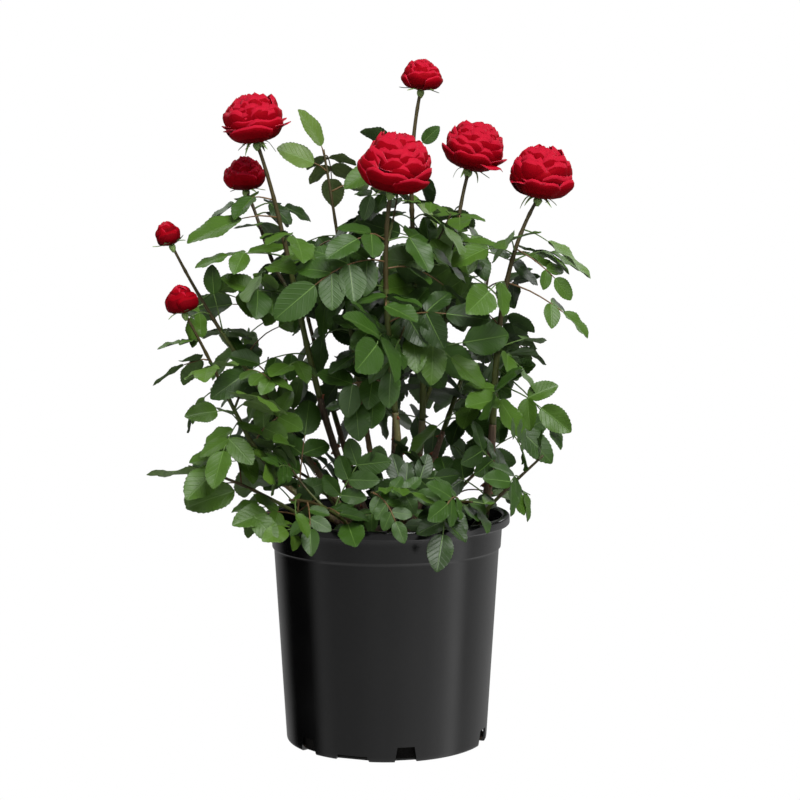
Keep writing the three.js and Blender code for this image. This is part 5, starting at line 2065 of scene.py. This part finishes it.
@dataclass
class Studio:
    """The camera, the white surround and the lamps."""

    eye: Triple = (0.0, -2.104, 0.5725)
    pitch: float = 5.044
    yaw: float = 0.417
    lens: float = 83.97
    surround: float = 0.24
    mirrored: float = 0.16
    from_table: float = 0.35
    panels: tuple[Pair, ...] = (
        (-180, 0.30), (180, 0.22), (-146, 0.28), (-122, 0.0), (-90, 0.0), (-74, 0.48), (-56, 0.38),
        (-40, 0.40), (0, 0.54), (42, 0.76), (60, 0.98), (78, 1.55), (94, 0.60), (112, 0.58), (140, 0.34))
    table_reach: float = 6.0
    table_height: float = -0.001
    lamps: tuple[tuple[str, Triple, Triple, float, float], ...] = (
        ("key", (0.65, -1.45, 2.3), (0.0, 0.0, 0.45), 1.5, 108.0),
        ("front", (0.2, -2.7, 1.35), (0.0, 0.0, 0.4), 0.7, 4.0),
        ("fill", (-1.6, -1.3, 1.3), (0.0, 0.0, 0.4), 1.4, 13.0),
        ("back_left", (-1.4, 1.9, 1.9), (0.0, 0.0, 0.4), 1.2, 12.0),
        ("back_right", (1.5, 1.8, 1.7), (0.0, 0.0, 0.4), 1.2, 12.0))

    def lamp(self, name: str, place: Triple, aim: Triple, size: float, power: float) -> None:
        """Adds a soft square lamp that points at a place."""
        data = bpy.data.lights.new(name, "AREA")
        data.shape, data.size, data.size_y, data.energy = "RECTANGLE", size, size, power
        lamp = add_object(name, data)
        lamp.location = place
        way = vec(*aim) - vec(*place)
        flat = math.hypot(way[0], way[1])
        lamp.rotation_euler = (math.atan2(flat, -way[2]), 0.0, math.atan2(-way[0], way[1]))

    def floor(self) -> None:
        """Adds the plain white table that the pot stands on."""
        material = bpy.data.materials.new("table_white")
        material.use_nodes = True
        material.node_tree.nodes.clear()
        graph = NodeGraph(material.node_tree)
        path = graph.add("ShaderNodeLightPath")
        seen = graph.add("ShaderNodeEmission", {"Color": (1, 1, 1, 1), "Strength": 1.0})
        lit = graph.add("ShaderNodeBsdfDiffuse", {"Color": (0.45, 0.45, 0.45, 1)})
        mix = graph.choose(path.outputs["Is Camera Ray"], lit, seen)
        graph.add("ShaderNodeOutputMaterial", {"Surface": mix.outputs[0]})
        mesh = bpy.data.meshes.new("table")
        r, z = self.table_reach, self.table_height
        mesh.from_pydata([(-r, -r, z), (r, -r, z), (r, r, z), (-r, r, z)], [], [(0, 1, 2, 3)])
        mesh.materials.append(material)
        table = add_object("table", mesh)
        table.visible_glossy = False

    def world(self) -> None:
        """Makes the surround: white to the camera, softer as light, and panels round the pot as shine."""
        world = bpy.data.worlds.new("surround")
        world.use_nodes = True
        world.node_tree.nodes.clear()
        graph = NodeGraph(world.node_tree)
        path = graph.add("ShaderNodeLightPath")
        around = graph.add("ShaderNodeTexCoord").outputs["Generated"]
        way = graph.add("ShaderNodeSeparateXYZ", {"Vector": around}).outputs
        turn = graph.math("ARCTAN2", way["X"], graph.math("MULTIPLY", way["Y"], -1.0))
        share = graph.math("ADD", graph.math("DIVIDE", turn, 2 * math.pi), 0.5)
        panels = graph.add("ShaderNodeValToRGB", {0: share})
        stops = panels.color_ramp.elements
        panels.color_ramp.interpolation = "EASE"
        for number, (angle, shine) in enumerate(self.panels):
            stop = stops[number] if number < 2 else stops.new(1.0)
            stop.position, stop.color = angle / 360 + 0.5, (shine, shine, shine, 1.0)
        above = graph.ramp(way["Z"], -0.08, 0.16)
        low = graph.math("MULTIPLY", panels.outputs["Color"], graph.math("SUBTRACT", 1.0, above))
        under = graph.ramp(way["Z"], -0.35, -0.6, high=self.from_table)
        mirrored = graph.math(
            "ADD", graph.math("ADD", low, under), graph.math("MULTIPLY", above, self.mirrored))
        white = (1.0, 1.0, 1.0, 1.0)
        seen = graph.add("ShaderNodeBackground", {"Color": white, "Strength": 1.0})
        soft = graph.add("ShaderNodeBackground", {"Color": white, "Strength": self.surround})
        shine = graph.add("ShaderNodeBackground", {"Color": white, "Strength": mirrored})
        light = graph.choose(path.outputs["Is Glossy Ray"], soft, shine)
        mix = graph.choose(path.outputs["Is Camera Ray"], light, seen)
        graph.add("ShaderNodeOutputWorld", {"Surface": mix.outputs[0]})
        bpy.context.scene.world = world

    def build(self) -> None:
        """Sets up the camera, the surround and the lamps."""
        scene = bpy.context.scene
        data = bpy.data.cameras.new("camera")
        data.lens, data.sensor_width, data.clip_end = self.lens, 36.0, 50.0
        camera = add_object("camera", data)
        camera.location = self.eye
        camera.rotation_euler = (math.radians(90 - self.pitch), 0.0, -math.radians(self.yaw))
        scene.camera = camera
        scene.view_settings.view_transform = "Standard"
        scene.view_settings.look = "None"
        self.floor()
        self.world()
        for lamp in self.lamps:
            self.lamp(*lamp)


# ---- The whole plant ----


def main() -> None:
    """Builds the plant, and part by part."""
    logging.basicConfig(level=logging.INFO, format="%(name)s %(message)s")
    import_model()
    groups = Groups(make_grain_group(), make_vein_group())
    scatter = Scatter()
    shoots = make_shoots()
    growth = Growth(shoots)
    growth.run()
    masses = [f"foliage_{shoot.name}" for shoot in shoots.values() if not shoot.fork]
    Pot().build(POT_BLACK.make(groups))
    soils = [finish.make(groups) for finish in (SOIL_PEAT, SOIL_PAINTED_SHADE, SOIL_CRUMB, SOIL_CHIP)]
    SoilBed().build(*soils, scatter)
    Crown().build(CROWN_BARK.make(groups))
    Canes().build(shoots, CANE_GREEN.make(groups), CANE_BROWN.make(groups), PRICKLE.make(groups), scatter)
    greens = [finish.make(groups) for finish in (*LEAF_TOPS, *LEAF_UNDERS, MIDRIB)]
    stems = [finish.make(groups) for finish in (STEM_GREEN, STEM_RED, STALK_GREEN, STALK_RED)]
    Foliage().build([*shoots.values(), *growth.twigs], stems, greens, masses)
    Blooms().build(list(shoots.values()), [finish.make(groups) for finish in PETALS],
                   [SEPAL_PALE.make(groups), SEPAL_DARK.make(groups)])
    Studio().build()
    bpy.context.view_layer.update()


if __name__ == "__main__":
    main()
